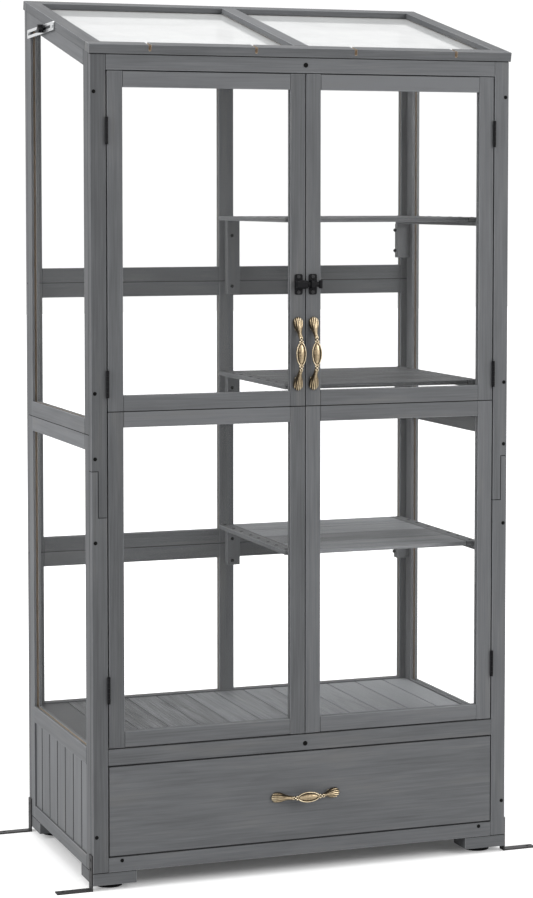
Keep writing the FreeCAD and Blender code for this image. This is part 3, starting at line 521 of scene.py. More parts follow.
def noise_node(tree, vector, scale, detail=2.0, roughness=0.5):
    node = tree.nodes.new("ShaderNodeTexNoise")
    node.inputs["Scale"].default_value = scale
    node.inputs["Detail"].default_value = detail
    node.inputs["Roughness"].default_value = roughness
    tree.links.new(vector, node.inputs["Vector"])
    return node.outputs["Fac"]


def stretch_node(tree, vector, factors):
    node = tree.nodes.new("ShaderNodeVectorMath")
    node.operation = "MULTIPLY"
    node.inputs[1].default_value = factors
    tree.links.new(vector, node.inputs[0])
    return node.outputs[0]


def swing(tree, pattern, share):
    """A pattern between 0 and 1 turned into a swing about zero."""
    return math_node(tree, "MULTIPLY", math_node(tree, "SUBTRACT", pattern, 0.5), share)


def softwood_group():
    group, start, end = new_group(
        "Softwood figure",
        [("Grain", "NodeSocketVector", None), ("Ring Spacing", "NodeSocketFloat", RING_SPACING)],
        [(label, "NodeSocketFloat") for label in FIGURE_OUTPUTS],
    )
    coords = start.outputs["Grain"]
    # A ring is a distance from the pith, pushed about by slow noise along the stick
    drift = noise_node(group, stretch_node(group, coords, DRIFT_STRETCH), 1.0, 2.0)
    split = group.nodes.new("ShaderNodeSeparateXYZ")
    group.links.new(coords, split.inputs[0])
    y2 = math_node(group, "POWER", split.outputs["Y"], 2.0)
    z2 = math_node(group, "POWER", split.outputs["Z"], 2.0)
    radius = math_node(group, "SQRT", math_node(group, "ADD", y2, z2))
    pushed = math_node(group, "ADD", radius, math_node(group, "MULTIPLY", drift, RING_DRIFT))
    turns = math_node(group, "DIVIDE", pushed, start.outputs["Ring Spacing"])
    phase = math_node(group, "FRACT", turns)
    late = math_node(group, "POWER", phase, 3.0)
    early = math_node(group, "SUBTRACT", 1.0, math_node(group, "MULTIPLY", phase, 9.0), clamp=True)
    rings = math_node(group, "MAXIMUM", late, early, clamp=True)
    group.links.new(rings, end.inputs["Rings"])
    fibres = noise_node(group, stretch_node(group, coords, FIBRE_STRETCH), 1.0, 3.0, 0.6)
    group.links.new(fibres, end.inputs["Fibres"])
    streaks = noise_node(group, stretch_node(group, coords, STREAK_STRETCH), 1.0, 2.0, 0.55)
    group.links.new(streaks, end.inputs["Streaks"])
    blotches = noise_node(group, stretch_node(group, coords, BLOTCH_STRETCH), 1.0, 3.5, 0.6)
    group.links.new(blotches, end.inputs["Blotches"])
    return group


softwood = softwood_group()
print("group:", softwood.name)

# %% [markdown]
# The finishes of the wood. The stain is a cool grey that sinks in unevenly:
# a little darker in the late wood, mottled, and a shade warmer here and there.
# Where an arris has been rubbed it is paler, and along a joint it is dark; in the narrow gaps
# around the lid, the doors' rails and the drawer that dark is painted shade.
# Wood cut after staining keeps a dull brown. One material with masks could show
# all of this, but with one material for each finish a rounded edge can simply
# be given its own.

# %% Stained, worn, bare and joint wood
TONE_STEP, MIDDLE_LEVEL = 0.14, 0.54
PORE_DEPTH, PORE_STRENGTH = 0.0004, 0.25
COOL = 0.03


def mix_colours(tree, factor, a, b):
    node = tree.nodes.new("ShaderNodeMix")
    node.data_type = "RGBA"
    for socket, value in ((node.inputs[0], factor), (node.inputs[6], a), (node.inputs[7], b)):
        if isinstance(value, (int, float, tuple)):
            socket.default_value = value
        else:
            tree.links.new(value, socket)
    return node.outputs[2]


def wood_material(name, dark, light, warm, rings=0.4, fibres=0.8, streaks=0.7, mottle=1.0,
                  roughness=0.62):
    """Wood whose colour runs from dark to light, with a warm tint in its blotches."""
    material, tree, shader = new_material(name)
    grain = tree.nodes.new("ShaderNodeAttribute")
    grain.attribute_name = "grain"
    tone_and_painted_light = tree.nodes.new("ShaderNodeAttribute")
    tone_and_painted_light.attribute_name = "tone_and_painted_light"
    figure = tree.nodes.new("ShaderNodeGroup")
    figure.node_tree = softwood
    tree.links.new(grain.outputs["Vector"], figure.inputs["Grain"])
    ring, fibre, streak, blotch = (figure.outputs[k] for k in FIGURE_OUTPUTS)
    level = swing(tree, fibre, fibres)
    level = math_node(tree, "ADD", level, swing(tree, streak, streaks))
    level = math_node(tree, "ADD", level, swing(tree, blotch, mottle))
    level = math_node(tree, "SUBTRACT", level, math_node(tree, "MULTIPLY", ring, 0.3 * rings))
    # The stick's own tone, partly painted light.
    own_tone_and_painted_light = math_node(tree, "MULTIPLY", tone_and_painted_light.outputs["Fac"], TONE_STEP)
    level = math_node(tree, "ADD", level, own_tone_and_painted_light)
    level = math_node(tree, "ADD", level, MIDDLE_LEVEL, clamp=True)
    colour = mix_colours(tree, level, dark, light)
    warmth = math_node(tree, "MULTIPLY", math_node(tree, "SUBTRACT", blotch, 0.55, clamp=True), 1.2)
    colour = mix_colours(tree, warmth, colour, warm)
    tree.links.new(colour, shader.inputs["Base Color"])
    rough = math_node(tree, "ADD", math_node(tree, "MULTIPLY", fibre, 0.16), roughness - 0.08)
    tree.links.new(rough, shader.inputs["Roughness"])
    shader.inputs["Specular IOR Level"].default_value = 0.3
    height = math_node(tree, "SUBTRACT", fibre, math_node(tree, "MULTIPLY", ring, 0.35))
    relief = tree.nodes.new("ShaderNodeBump")
    relief.inputs["Strength"].default_value = PORE_STRENGTH
    relief.inputs["Distance"].default_value = PORE_DEPTH
    tree.links.new(height, relief.inputs["Height"])
    tree.links.new(relief.outputs["Normal"], shader.inputs["Normal"])
    return material


def grey(level):
    """A linear grey from an 8-bit level, a touch cooler than neutral."""
    value = (level / 255) ** 2.2
    return (value * (1 - COOL), value, value * (1 + COOL * 1.6), 1)


warm_grey = (0.150, 0.140, 0.122, 1)
stained = wood_material("Grey stained softwood", grey(82), grey(110), warm_grey)
# The lighter and wider grey of the boards and slats is partly painted light, where more light falls
# on the shelves and the floor.
board_stain_and_painted_light = wood_material("Lighter boards and painted light", grey(72), grey(156), warm_grey,
                            rings=0.35, fibres=1.1, streaks=0.55, mottle=0.8)
worn = wood_material("Rubbed edge", grey(104), grey(136), (0.25, 0.23, 0.20, 1), fibres=0.9)
bare = wood_material("Bare cut softwood", (0.31, 0.225, 0.15, 1), (0.56, 0.46, 0.35, 1),
                     (0.44, 0.32, 0.21, 1))
# Dark joint lines; in the narrow gaps the same dark is painted shade.
joint_and_gap_shade = wood_material("Joint line and gap shade", grey(12), grey(26), (0.012, 0.011, 0.010, 1), roughness=0.8)
WOOD = (stained, worn, bare, joint_and_gap_shade)
BOARDS = (board_stain_and_painted_light, worn, bare, joint_and_gap_shade)
print("finishes:", [m.name for m in WOOD + BOARDS[:1]])

# %% [markdown]
# The sticks. Every wooden node becomes a piece with these four finishes, the slats and floor boards
# with a lighter and wider grey that is partly painted light. Marked edges are rounded: the free
# ones by almost a millimetre, those at joints and narrow gaps a little less, and those between the
# floor boards more, so that the boards can be told apart. Cutting the rounding into the mesh would
# fix its width for good, so a Bevel modifier for each kind reads the marks instead.

# %% Dress the wooden nodes
FREE_EASE, JOINT_AND_GAP_EASE, FLOOR_EASE = 0.8 * mm, 0.7 * mm, 1.6 * mm


def place_piece(name, mesh, body, materials=(), replaced=()):
    piece = bpy.data.objects.new(name, mesh)
    bpy.context.collection.objects.link(piece)
    for material in materials:
        mesh.materials.append(material)
    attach(piece, body)
    if replaced:
        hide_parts(*replaced)
    return piece


def ease(piece, name, attribute, width, segments, slot):
    bevel = piece.modifiers.new(name, "BEVEL")
    bevel.limit_method = "WEIGHT"
    bevel.edge_weight = attribute
    bevel.width = width
    bevel.segments = segments
    bevel.use_clamp_overlap = False
    bevel.harden_normals = True
    bevel.material = slot


for node, bm in meshes.items():
    mesh = bpy.data.meshes.new(node + "_wood")
    bm.to_mesh(mesh)
    bm.free()
    finish = BOARDS if node == "floor_boards" or node.endswith("slats") else WOOD
    piece = place_piece(node + "_wood", mesh, body_of_node[node], finish, (node,))
    ease(piece, "Free edges", "arris", FREE_EASE, 2, WORN)
    # The dark bevel at joints and narrow gaps; in the gaps it is painted shade.
    joint_and_gap_ease = FLOOR_EASE if node == "floor_boards" else JOINT_AND_GAP_EASE
    ease(piece, "Joint and gap shade edges", "seam", joint_and_gap_ease, 1, SEAM_AND_GAP_SHADE)
print("wooden pieces:", len(meshes))

# %% [markdown]
# The panes. The walls and doors hold thin clear plastic sheets that show only
# by a faint gloss, though they take a share of the light that goes in. The two
# roof panes are the same sheet, but they lie almost in line with the view and
# have gathered a bloom, so they look milky. A shader that bends light would be
# slow and grainy behind so many sheets. They are too thin to bend it much, so
# they are made see-through with Alpha.

# %% Clear and hazy panes
def pane_material(name, colour, alpha, shade, roughness):
    """A sheet that covers by alpha for the camera and by shade for other light."""
    material, tree, shader = new_material(name)
    shader.inputs["Base Color"].default_value = colour
    shader.inputs["Roughness"].default_value = roughness
    shader.inputs["IOR"].default_value = 1.49
    coords = tree.nodes.new("ShaderNodeTexCoord")
    path = tree.nodes.new("ShaderNodeLightPath")
    smear = noise_node(tree, coords.outputs["Object"], 9.0, 3.0)
    cover = math_node(tree, "ADD", math_node(tree, "MULTIPLY", smear, alpha * 0.4), alpha * 0.8)
    unseen = math_node(tree, "SUBTRACT", 1.0, path.outputs["Is Camera Ray"])
    extra = math_node(tree, "MULTIPLY", unseen, shade)
    tree.links.new(math_node(tree, "MAXIMUM", cover, extra), shader.inputs["Alpha"])
    return material


clear_pane = pane_material("Clear sheet", (0.93, 0.95, 0.95, 1), 0.018, 0.12, 0.04)
hazy_pane = pane_material("Roof sheet with bloom", (0.72, 0.73, 0.73, 1), 0.79, 0.22, 0.07)
for sub in frame["record"]["subparts"]:
    if sub["material_slot"] in ("clear_pane", "roof_pane"):
        sheet = hazy_pane if sub["material_slot"] == "roof_pane" else clear_pane
        for slot in nodes[sub["node"]].material_slots:
            slot.material = sheet
print("pane finishes:", clear_pane.name, hazy_pane.name)

# %% [markdown]
# The small ironwork. The latch and hinges are pressed steel under a thin black
# coat, the stay is bright zinc-plated strip, and the ground anchors are dark
# strip. Their shapes come from the frame as they are and only need a finish.
# Each could have its own tree, but all of them are handled alike, so they share
# one node group that gives the coat its faint unevenness and scuffs. The rubber
# pads and the screw heads use it too.

# %% Node group: handling marks, and the metals
GRIME_SCALE, SCRATCH_LEVEL, WEAR = 60.0, 0.62, 0.5


def handling_group():
    group, start, end = new_group(
        "Handling marks",
        [("Vector", "NodeSocketVector", None), ("Grime Scale", "NodeSocketFloat", GRIME_SCALE)],
        [("Patches", "NodeSocketFloat"), ("Scratches", "NodeSocketFloat")],
    )
    patch = group.nodes.new("ShaderNodeTexNoise")
    patch.inputs["Detail"].default_value = 4.0
    group.links.new(start.outputs["Vector"], patch.inputs["Vector"])
    group.links.new(start.outputs["Grime Scale"], patch.inputs["Scale"])
    group.links.new(patch.outputs["Fac"], end.inputs["Patches"])
    drawn = stretch_node(group, start.outputs["Vector"], (240, 240, 2200))
    lines = noise_node(group, drawn, 1.0, 2.0, 0.7)
    above = math_node(group, "SUBTRACT", lines, SCRATCH_LEVEL, clamp=True)
    sharp = math_node(group, "MULTIPLY", above, 5.0, clamp=True)
    group.links.new(sharp, end.inputs["Scratches"])
    return group


handling = handling_group()


def metal_material(name, colour, worn_colour, metallic, roughness, scale=GRIME_SCALE, gloss=0.5):
    """Metal, coat or rubber whose colour shifts towards worn_colour where it was handled."""
    material, tree, shader = new_material(name)
    coords = tree.nodes.new("ShaderNodeTexCoord")
    marks = tree.nodes.new("ShaderNodeGroup")
    marks.node_tree = handling
    marks.inputs["Grime Scale"].default_value = scale
    tree.links.new(coords.outputs["Object"], marks.inputs["Vector"])
    patches, scratches = marks.outputs["Patches"], marks.outputs["Scratches"]
    amount = math_node(tree, "ADD", math_node(tree, "MULTIPLY", patches, 0.5), scratches)
    amount = math_node(tree, "MULTIPLY", amount, WEAR)
    tree.links.new(mix_colours(tree, amount, colour, worn_colour), shader.inputs["Base Color"])
    shader.inputs["Metallic"].default_value = metallic
    shader.inputs["Specular IOR Level"].default_value = gloss
    rough = math_node(tree, "ADD", math_node(tree, "MULTIPLY", patches, 0.2), roughness - 0.1)
    tree.links.new(rough, shader.inputs["Roughness"])
    relief = tree.nodes.new("ShaderNodeBump")
    relief.inputs["Strength"].default_value = 0.12
    relief.inputs["Distance"].default_value = 0.0002
    tree.links.new(patches, relief.inputs["Height"])
    tree.links.new(relief.outputs["Normal"], shader.inputs["Normal"])
    return material


black = (0.004, 0.004, 0.005, 1)
black_coat = metal_material("Black coated steel", black, (0.014, 0.014, 0.015, 1),
                            0.0, 0.42, gloss=0.12)
zinc = metal_material("Zinc plated strip", (0.66, 0.67, 0.68, 1), (0.42, 0.43, 0.44, 1),
                      1.0, 0.28, scale=140)
dark_strip = metal_material("Dark anchor strip", (0.03, 0.03, 0.032, 1), (0.10, 0.095, 0.09, 1),
                            0.3, 0.5, gloss=0.3)
rubber_pad = metal_material("Black rubber", black, (0.03, 0.029, 0.028, 1),
                            0.0, 0.8, scale=200, gloss=0.2)
screw_head = metal_material("Dull screw head", (0.004, 0.004, 0.004, 1), (0.02, 0.02, 0.02, 1),
                            0.0, 0.7, scale=300, gloss=0.1)
black_screw = metal_material("Blackened screw", (0.03, 0.03, 0.032, 1), (0.09, 0.09, 0.09, 1),
                             0.7, 0.32, scale=300)
finish_of_slot = {
    "black_metal": black_coat, "steel": zinc, "anchor_steel": dark_strip, "rubber": rubber_pad,
}
for sub in frame["record"]["subparts"]:
    finish = finish_of_slot.get(sub["material_slot"])
    if finish is not None:
        for slot in nodes[sub["node"]].material_slots:
            slot.material = finish
print("metal finishes:", len(finish_of_slot) + 2)

# %% [markdown]
# The cast pulls. Each one is a long oval grip between two arms, and every arm
# ends in a fan of five fingertips that lies on the wood. They could be sculpted,
# but a shape built from a few rules can be measured and changed. The parts are
# closed shells that run into each other. The pull stands along Z with the wood
# at Y = 0, and its numbers are millimetres. First come the tools for the shells:
# a skin over rings of points, an egg and a round tube.

# %% Tools for closed shells
PULL_HALF, GRIP_Y = 67.0, -16.9


def add_grid(bm, rows):
    """A closed shell from rings of points, capped at both ends."""
    rings = [[bm.verts.new(Vector(p) * mm) for p in row] for row in rows]
    for a, b in zip(rings, rings[1:]):
        for i in range(len(a)):
            j = (i + 1) % len(a)
            bm.faces.new((a[i], a[j], b[j], b[i]))
    bm.faces.new(rings[0][::-1])
    bm.faces.new(rings[-1])


def add_ball(bm, centre, size, tilt=0.0):
    """An ellipsoid, turned about Y by tilt degrees."""
    ball = bmesh.ops.create_icosphere(bm, subdivisions=3, radius=mm)["verts"]
    turn = Matrix.Rotation(math.radians(tilt), 4, "Y")
    place = Matrix.Translation(Vector(centre) * mm) @ turn @ Matrix.Diagonal((*size, 1))
    bmesh.ops.transform(bm, matrix=place, verts=ball)


def add_tube(bm, path, sides=16):
    """A round tube through (x, y, z, radius) stations."""
    rows = []
    for i, (x, y, z, r) in enumerate(path):
        before, after = path[max(i - 1, 0)], path[min(i + 1, len(path) - 1)]
        way = (Vector(after[:3]) - Vector(before[:3])).normalized()
        side = way.cross(Vector((0, 1, 0))).normalized() if abs(way.y) < 0.9 else Vector((1, 0, 0))
        up = side.cross(way)
        angles = [2 * math.pi * k / sides for k in range(sides)]
        spokes = [side * math.cos(a) + up * math.sin(a) for a in angles]
        rows.append([Vector((x, y, z)) + spoke * r for spoke in spokes])
    add_grid(bm, rows)


print("the pull is", 2 * PULL_HALF, "mm long")

# %% [markdown]
# The fan opens from a narrow root to five tips. Five separate fingers would
# leave gaps at the root, where the casting is one piece. One grid of points is
# simpler: its sides spread, and ridges rise on it only towards the tips.

# %% The fan of fingertips
FAN_ROOT, ROOT_HALF, TIP_SPREAD, ROOT_RISE = 30.0, 3.9, 5.4, 13.5
FINGER_CUT, FINGER_RIDGE, SIDE_FALL = 3.2, 2.9, 6.8
FAN_STEPS = 40


def held(value):
    """The value kept between 0 and 1."""
    return min(1.0, max(0.0, value))


def arch(t):
    """Height of a unit arch: 1 in its middle, 0 from its feet on."""
    return math.sqrt(max(0.0, 1 - t ** 2))


def fan_point(u, v, lower):
    """A point of the fan: u runs from root to tips, v from one side to the other."""
    open_up = held((u - 0.14) / 0.66)
    flow = open_up * open_up * (3 - 2 * open_up)
    half = ROOT_HALF + TIP_SPREAD * flow
    fingers = held((u - 0.46) / 0.4)
    finger = ((v + 1) * 2.5) % 1.0 - 0.5
    tip = arch(1.85 * finger)
    reach = PULL_HALF - FAN_ROOT - SIDE_FALL * v * v - FINGER_CUT * (1 - tip)
    z = FAN_ROOT + reach * u
    rise = ROOT_RISE * (1 - u) ** 1.9
    if lower:
        return (half * v, -rise, z)
    ridge = FINGER_RIDGE * fingers * (tip - 0.6)
    nose = arch(max(0.0, u - 0.86) / 0.145)
    top = (5.4 - 1.8 * u) * arch(0.96 * v) * nose + ridge * nose + 0.6
    return (half * v, -rise - max(top, 0.5), z)


def add_fan(bm):
    columns = [k / 30 - 1 for k in range(61)]
    rows = []
    for k in range(FAN_STEPS + 1):
        u = k / FAN_STEPS
        top = [fan_point(u, v, False) for v in columns]
        under = [fan_point(u, v, True) for v in reversed(columns)]
        rows.append(top + under)
    add_grid(bm, rows)


print("tip of the middle finger:", [round(c, 2) for c in fan_point(1.0, 0.0, True)])

# %% [markdown]
# Both ends of the pull are alike, so one half is built and a turned copy makes
# the other. A mirrored copy would turn its faces inside out. The oval grip in
# the middle is a flat egg with a rim around it and a rounder egg on top.

# %% Arms, beads and the oval grip
def half_pull(bm):
    """Arm, bud, beads and fan above the middle of the grip."""
    add_fan(bm)
    for side in (-1, 1):
        rim = [(side * (5.2 + 0.45 * k), -0.9, 42 + 1.8 * k, 0.6) for k in range(9)]
        add_tube(bm, rim, 8)
    arm = [(0, GRIP_Y + 0.2, 18, 2.6), (0, GRIP_Y + 0.3, 24, 3.0), (0, GRIP_Y + 1.2, 29, 3.4)]
    arm += [(0, GRIP_Y + 3.4, 34, 3.1), (0, GRIP_Y + 6.2, 38, 2.5)]
    add_tube(bm, arm)
    add_ball(bm, (0, -2.4, 50), (3.2, 2.3, 4.5))
    add_ball(bm, (0, GRIP_Y - 2.2, 25.4), (1.8, 1.7, 1.9))
    for side in (-1, 1):
        add_ball(bm, (side * 2.7, GRIP_Y - 1.9, 22.6), (1.5, 1.6, 2.0), side * -38)
        add_ball(bm, (side * 1.9, GRIP_Y - 1.0, 29.0), (1.2, 1.5, 3.0), side * -10)


def oval_ring(bm, wide, tall, y, r):
    """A closed tube around the grip, a little pointed at its ends."""
    steps, sides = 64, 10
    rings = []
    for k in range(steps):
        t = 2 * math.pi * k / steps
        s, c = math.sin(t), math.cos(t)
        centre = Vector((wide * s * abs(s) ** 0.25, y, tall * c))
        out = Vector((s / wide, 0, c / tall)).normalized()
        angles = [2 * math.pi * j / sides for j in range(sides)]
        ring = [centre + (out * math.cos(a) + Vector((0, -1, 0)) * math.sin(a)) * r for a in angles]
        rings.append([bm.verts.new(p * mm) for p in ring])
    for k in range(steps):
        a, b = rings[k], rings[(k + 1) % steps]
        for i in range(sides):
            j = (i + 1) % sides
            bm.faces.new((a[i], a[j], b[j], b[i]))


def pull_shells():
    bm = bmesh.new()
    half_pull(bm)
    lower = bmesh.ops.duplicate(bm, geom=bm.verts[:] + bm.edges[:] + bm.faces[:])["geom"]
    moved = [g for g in lower if isinstance(g, bmesh.types.BMVert)]
    bmesh.ops.rotate(bm, cent=(0, 0, 0), matrix=Matrix.Rotation(math.pi, 3, "Y"), verts=moved)
    add_ball(bm, (0, GRIP_Y + 0.9, 0), (9.0, 3.3, 21.4))
    oval_ring(bm, 8.6, 21.2, GRIP_Y - 1.9, 1.1)
    add_ball(bm, (0, GRIP_Y - 0.2, 0), (6.6, 4.7, 18.8))
    bmesh.ops.recalc_face_normals(bm, faces=bm.faces)
    mesh = bpy.data.meshes.new("pull_shells")
    bm.to_mesh(mesh)
    bm.free()
    return mesh


shells = pull_shells()
print("shells:", len(shells.polygons), "faces")

# %% [markdown]
# A casting is one skin. A boolean join of so many shells fails easily, so a voxel
# remesh wraps them all at once, and some smoothing softens it as wear would.
# Patina stays in the recesses, so each point of the skin is then asked how deep it sits between its
# neighbours. Painting this by hand would have to be done again after every change of shape. The
# answer is stored on the mesh, where the material can read it. Painted light is stored with it:
# painted shade on the fans' -X flank, a painted highlight on the rim along it, and how far the skin
# turns away from the front, which the material turns into painted shade.

# %% One casting and its recesses
VOXEL, SOFTEN_ROUNDS = 0.42 * mm, 3
# The fans' -X flank gets painted shade and its rim a painted highlight; the turn of the skin feeds
# painted shade.
FANS_FROM, RIM_PAINTED_HIGHLIGHT, HOLLOW_GAIN, TURN_POWER = 36, -0.3, 18.0, 0.84


def remeshed(mesh, voxel, rounds):
    """The shells as one skin, softened over a few rounds."""
    rough = bpy.data.objects.new("pull_rough", mesh)
    bpy.context.collection.objects.link(rough)
    remesh = rough.modifiers.new("One skin", "REMESH")
    remesh.mode = "VOXEL"
    remesh.voxel_size = voxel
    soften = rough.modifiers.new("Worn casting", "SMOOTH")
    soften.factor = 0.5
    soften.iterations = rounds
    graph = bpy.context.evaluated_depsgraph_get()
    result = bpy.data.meshes.new_from_object(rough.evaluated_get(graph))
    bpy.data.objects.remove(rough)
    return result


def painted_flank_shade_and_rim_highlight(v):
    """Painted shade on the -X flank, most on the fans, and a painted highlight on the rim along it.
    """
    x, y, z = (c / mm for c in v.co)
    on_fan = abs(z) > FANS_FROM
    if on_fan and y > -1.7 and x < -4.5:
        return RIM_PAINTED_HIGHLIGHT
    flank = 0.2 * max(0.0, -v.normal.x) * min(1.0, max(0.0, 1 - x) / 3)
    if on_fan:
        flank += 0.17 * min(1.0, max(0.0, -x - 0.5) / 4)
    return flank


def add_hollows_and_painted_light(mesh, rounds=6):
    """Store how deep each point sits between its neighbours: 1 in a recess, 0 on a crest, with
    painted shade added on the -X flank and a painted highlight on its rim.

    A second value, turned, says how far the skin turns away from the front: 0 where it looks
    straight out of the cabinet, 1 from its flanks on. The material darkens by it as painted shade.
    """
    bm = bmesh.new()
    bm.from_mesh(mesh)
    bmesh.ops.holes_fill(bm, edges=bm.edges, sides=0)
    values = []
    for v in bm.verts:
        around = [e.other_vert(v).co for e in v.link_edges]
        middle = sum(around, Vector()) / len(around)
        values.append((middle - v.co).dot(v.normal) / mm)
    links = [[e.other_vert(v).index for e in v.link_edges] for v in bm.verts]
    for _ in range(rounds):
        means = [sum(values[j] for j in near) / len(near) for near in links]
        values = [0.4 * own + 0.6 * mean for own, mean in zip(values, means)]
    bm.normal_update()
    hollow_and_painted_light = bm.verts.layers.float.new("hollow_and_painted_light")
    turned = bm.verts.layers.float.new("turned")
    for v in bm.verts:
        v[hollow_and_painted_light] = held(0.5 + values[v.index] * HOLLOW_GAIN + painted_flank_shade_and_rim_highlight(v))
        v[turned] = 1 - max(0.0, -v.normal.y) ** TURN_POWER
    bm.to_mesh(mesh)
    bm.free()


pull_mesh = remeshed(shells, VOXEL, SOFTEN_ROUNDS)
add_hollows_and_painted_light(pull_mesh)
print("pull faces:", len(pull_mesh.polygons))

# %% [markdown]
# Antique brass: dull gold on the crests that hands polish, with a painted highlight on the highest
# of them, nearly black in the recesses where the patina stays, and painted shade on the flanks that
# turn away from the front. A flat gold would look like new plastic. The two values stored on the
# mesh, one for the hollows with their painted light and one for the turn, steer the colour, so it
# follows the shape.

# %% Antique brass
def brass_material():
    material, tree, shader = new_material("Antique brass")
    coords = tree.nodes.new("ShaderNodeTexCoord")
    marks = tree.nodes.new("ShaderNodeGroup")
    marks.node_tree = handling
    marks.inputs["Grime Scale"].default_value = 240.0
    tree.links.new(coords.outputs["Object"], marks.inputs["Vector"])
    hollow_and_painted_light = tree.nodes.new("ShaderNodeAttribute")
    hollow_and_painted_light.attribute_name = "hollow_and_painted_light"
    uneven = swing(tree, marks.outputs["Patches"], 0.35)
    # Hollows with the painted flank shade and rim highlight, plus uneven patches.
    depth_and_painted_light = math_node(tree, "ADD", hollow_and_painted_light.outputs["Fac"], uneven, clamp=True)
    turned = tree.nodes.new("ShaderNodeAttribute")
    turned.attribute_name = "turned"
    crest = ramp_node(tree, depth_and_painted_light, 0.62, 0.30)
    colour = mix_colours(tree, crest, (0.135, 0.10, 0.062, 1), (0.53, 0.42, 0.27, 1))
    # Painted highlight on the highest crests, over their polish.
    polish_and_painted_highlight = ramp_node(tree, depth_and_painted_light, 0.22, 0.0, 0.0, 0.8)
    colour = mix_colours(tree, polish_and_painted_highlight, colour, (0.80, 0.70, 0.52, 1))
    # Patina in the recesses, and painted shade on the fans' -X flank.
    patina_and_painted_shade = ramp_node(tree, depth_and_painted_light, 0.52, 0.74)
    colour = mix_colours(tree, patina_and_painted_shade, colour, (0.018, 0.014, 0.009, 1))
    # Painted shade on the flanks that turn away from the front.
    edge = ramp_node(tree, turned.outputs["Fac"], 0.16, 0.80, 0.0, 0.92)
    colour = mix_colours(tree, edge, colour, (0.045, 0.035, 0.022, 1))
    tree.links.new(colour, shader.inputs["Base Color"])
    shader.inputs["Metallic"].default_value = 0.9
    tree.links.new(ramp_node(tree, depth_and_painted_light, 0.2, 0.8, 0.28, 0.6), shader.inputs["Roughness"])
    return material


brass = brass_material()
print("brass nodes:", len(brass.node_tree.nodes))

# %% [markdown]
# All three pulls are the same casting, two upright on the doors and one lying on
# the drawer. Each takes the place of its plainer pull in the frame. The turn and
# the place go into the mesh, so that the object itself stays at the origin.

# %% Place the three pulls
pull_mesh.materials.clear()
for polygon in pull_mesh.polygons:
    polygon.use_smooth = True


def place_pull(name, spot, sideways):
    mesh = pull_mesh.copy()
    turn = Matrix.Rotation(math.radians(90), 4, "Y") if sideways else Matrix()
    mesh.transform(Matrix.Translation(Vector(spot)) @ turn)
    piece = place_piece(name + "_cast", mesh, body_of_node[name], (brass,), (name,))


def middle_of(node):
    """Centre of a node's own box, with Y at its back."""
    corners = [v.co for v in nodes[node].data.vertices]
    low = [min(c[i] for c in corners) for i in range(3)]
    high = [max(c[i] for c in corners) for i in range(3)]
    return ((low[0] + high[0]) / 2, high[1], (low[2] + high[2]) / 2)


place_pull("left_door_pull", middle_of("left_door_pull"), False)
place_pull("right_door_pull", middle_of("right_door_pull"), False)
place_pull("drawer_pull", middle_of("drawer_pull"), True)
for node in ("left_door_pull", "drawer_pull"):
    print(node, "at", [round(c, 4) for c in middle_of(node)])

# %% [markdown]
# Screws hold the sticks. Dozens of copies by hand would be hard to move later,
# so one Geometry Nodes tree makes them all: a flat head with a cross cut into
# it, set on every point of a small mesh, turned to face along the point's stored
# direction and spun by chance.

# %% Geometry Nodes: screw heads
HEAD_SIDES, CROSS_LENGTH, CROSS_WIDTH = 20, 1.15, 0.26
SCREW_SEED = 5


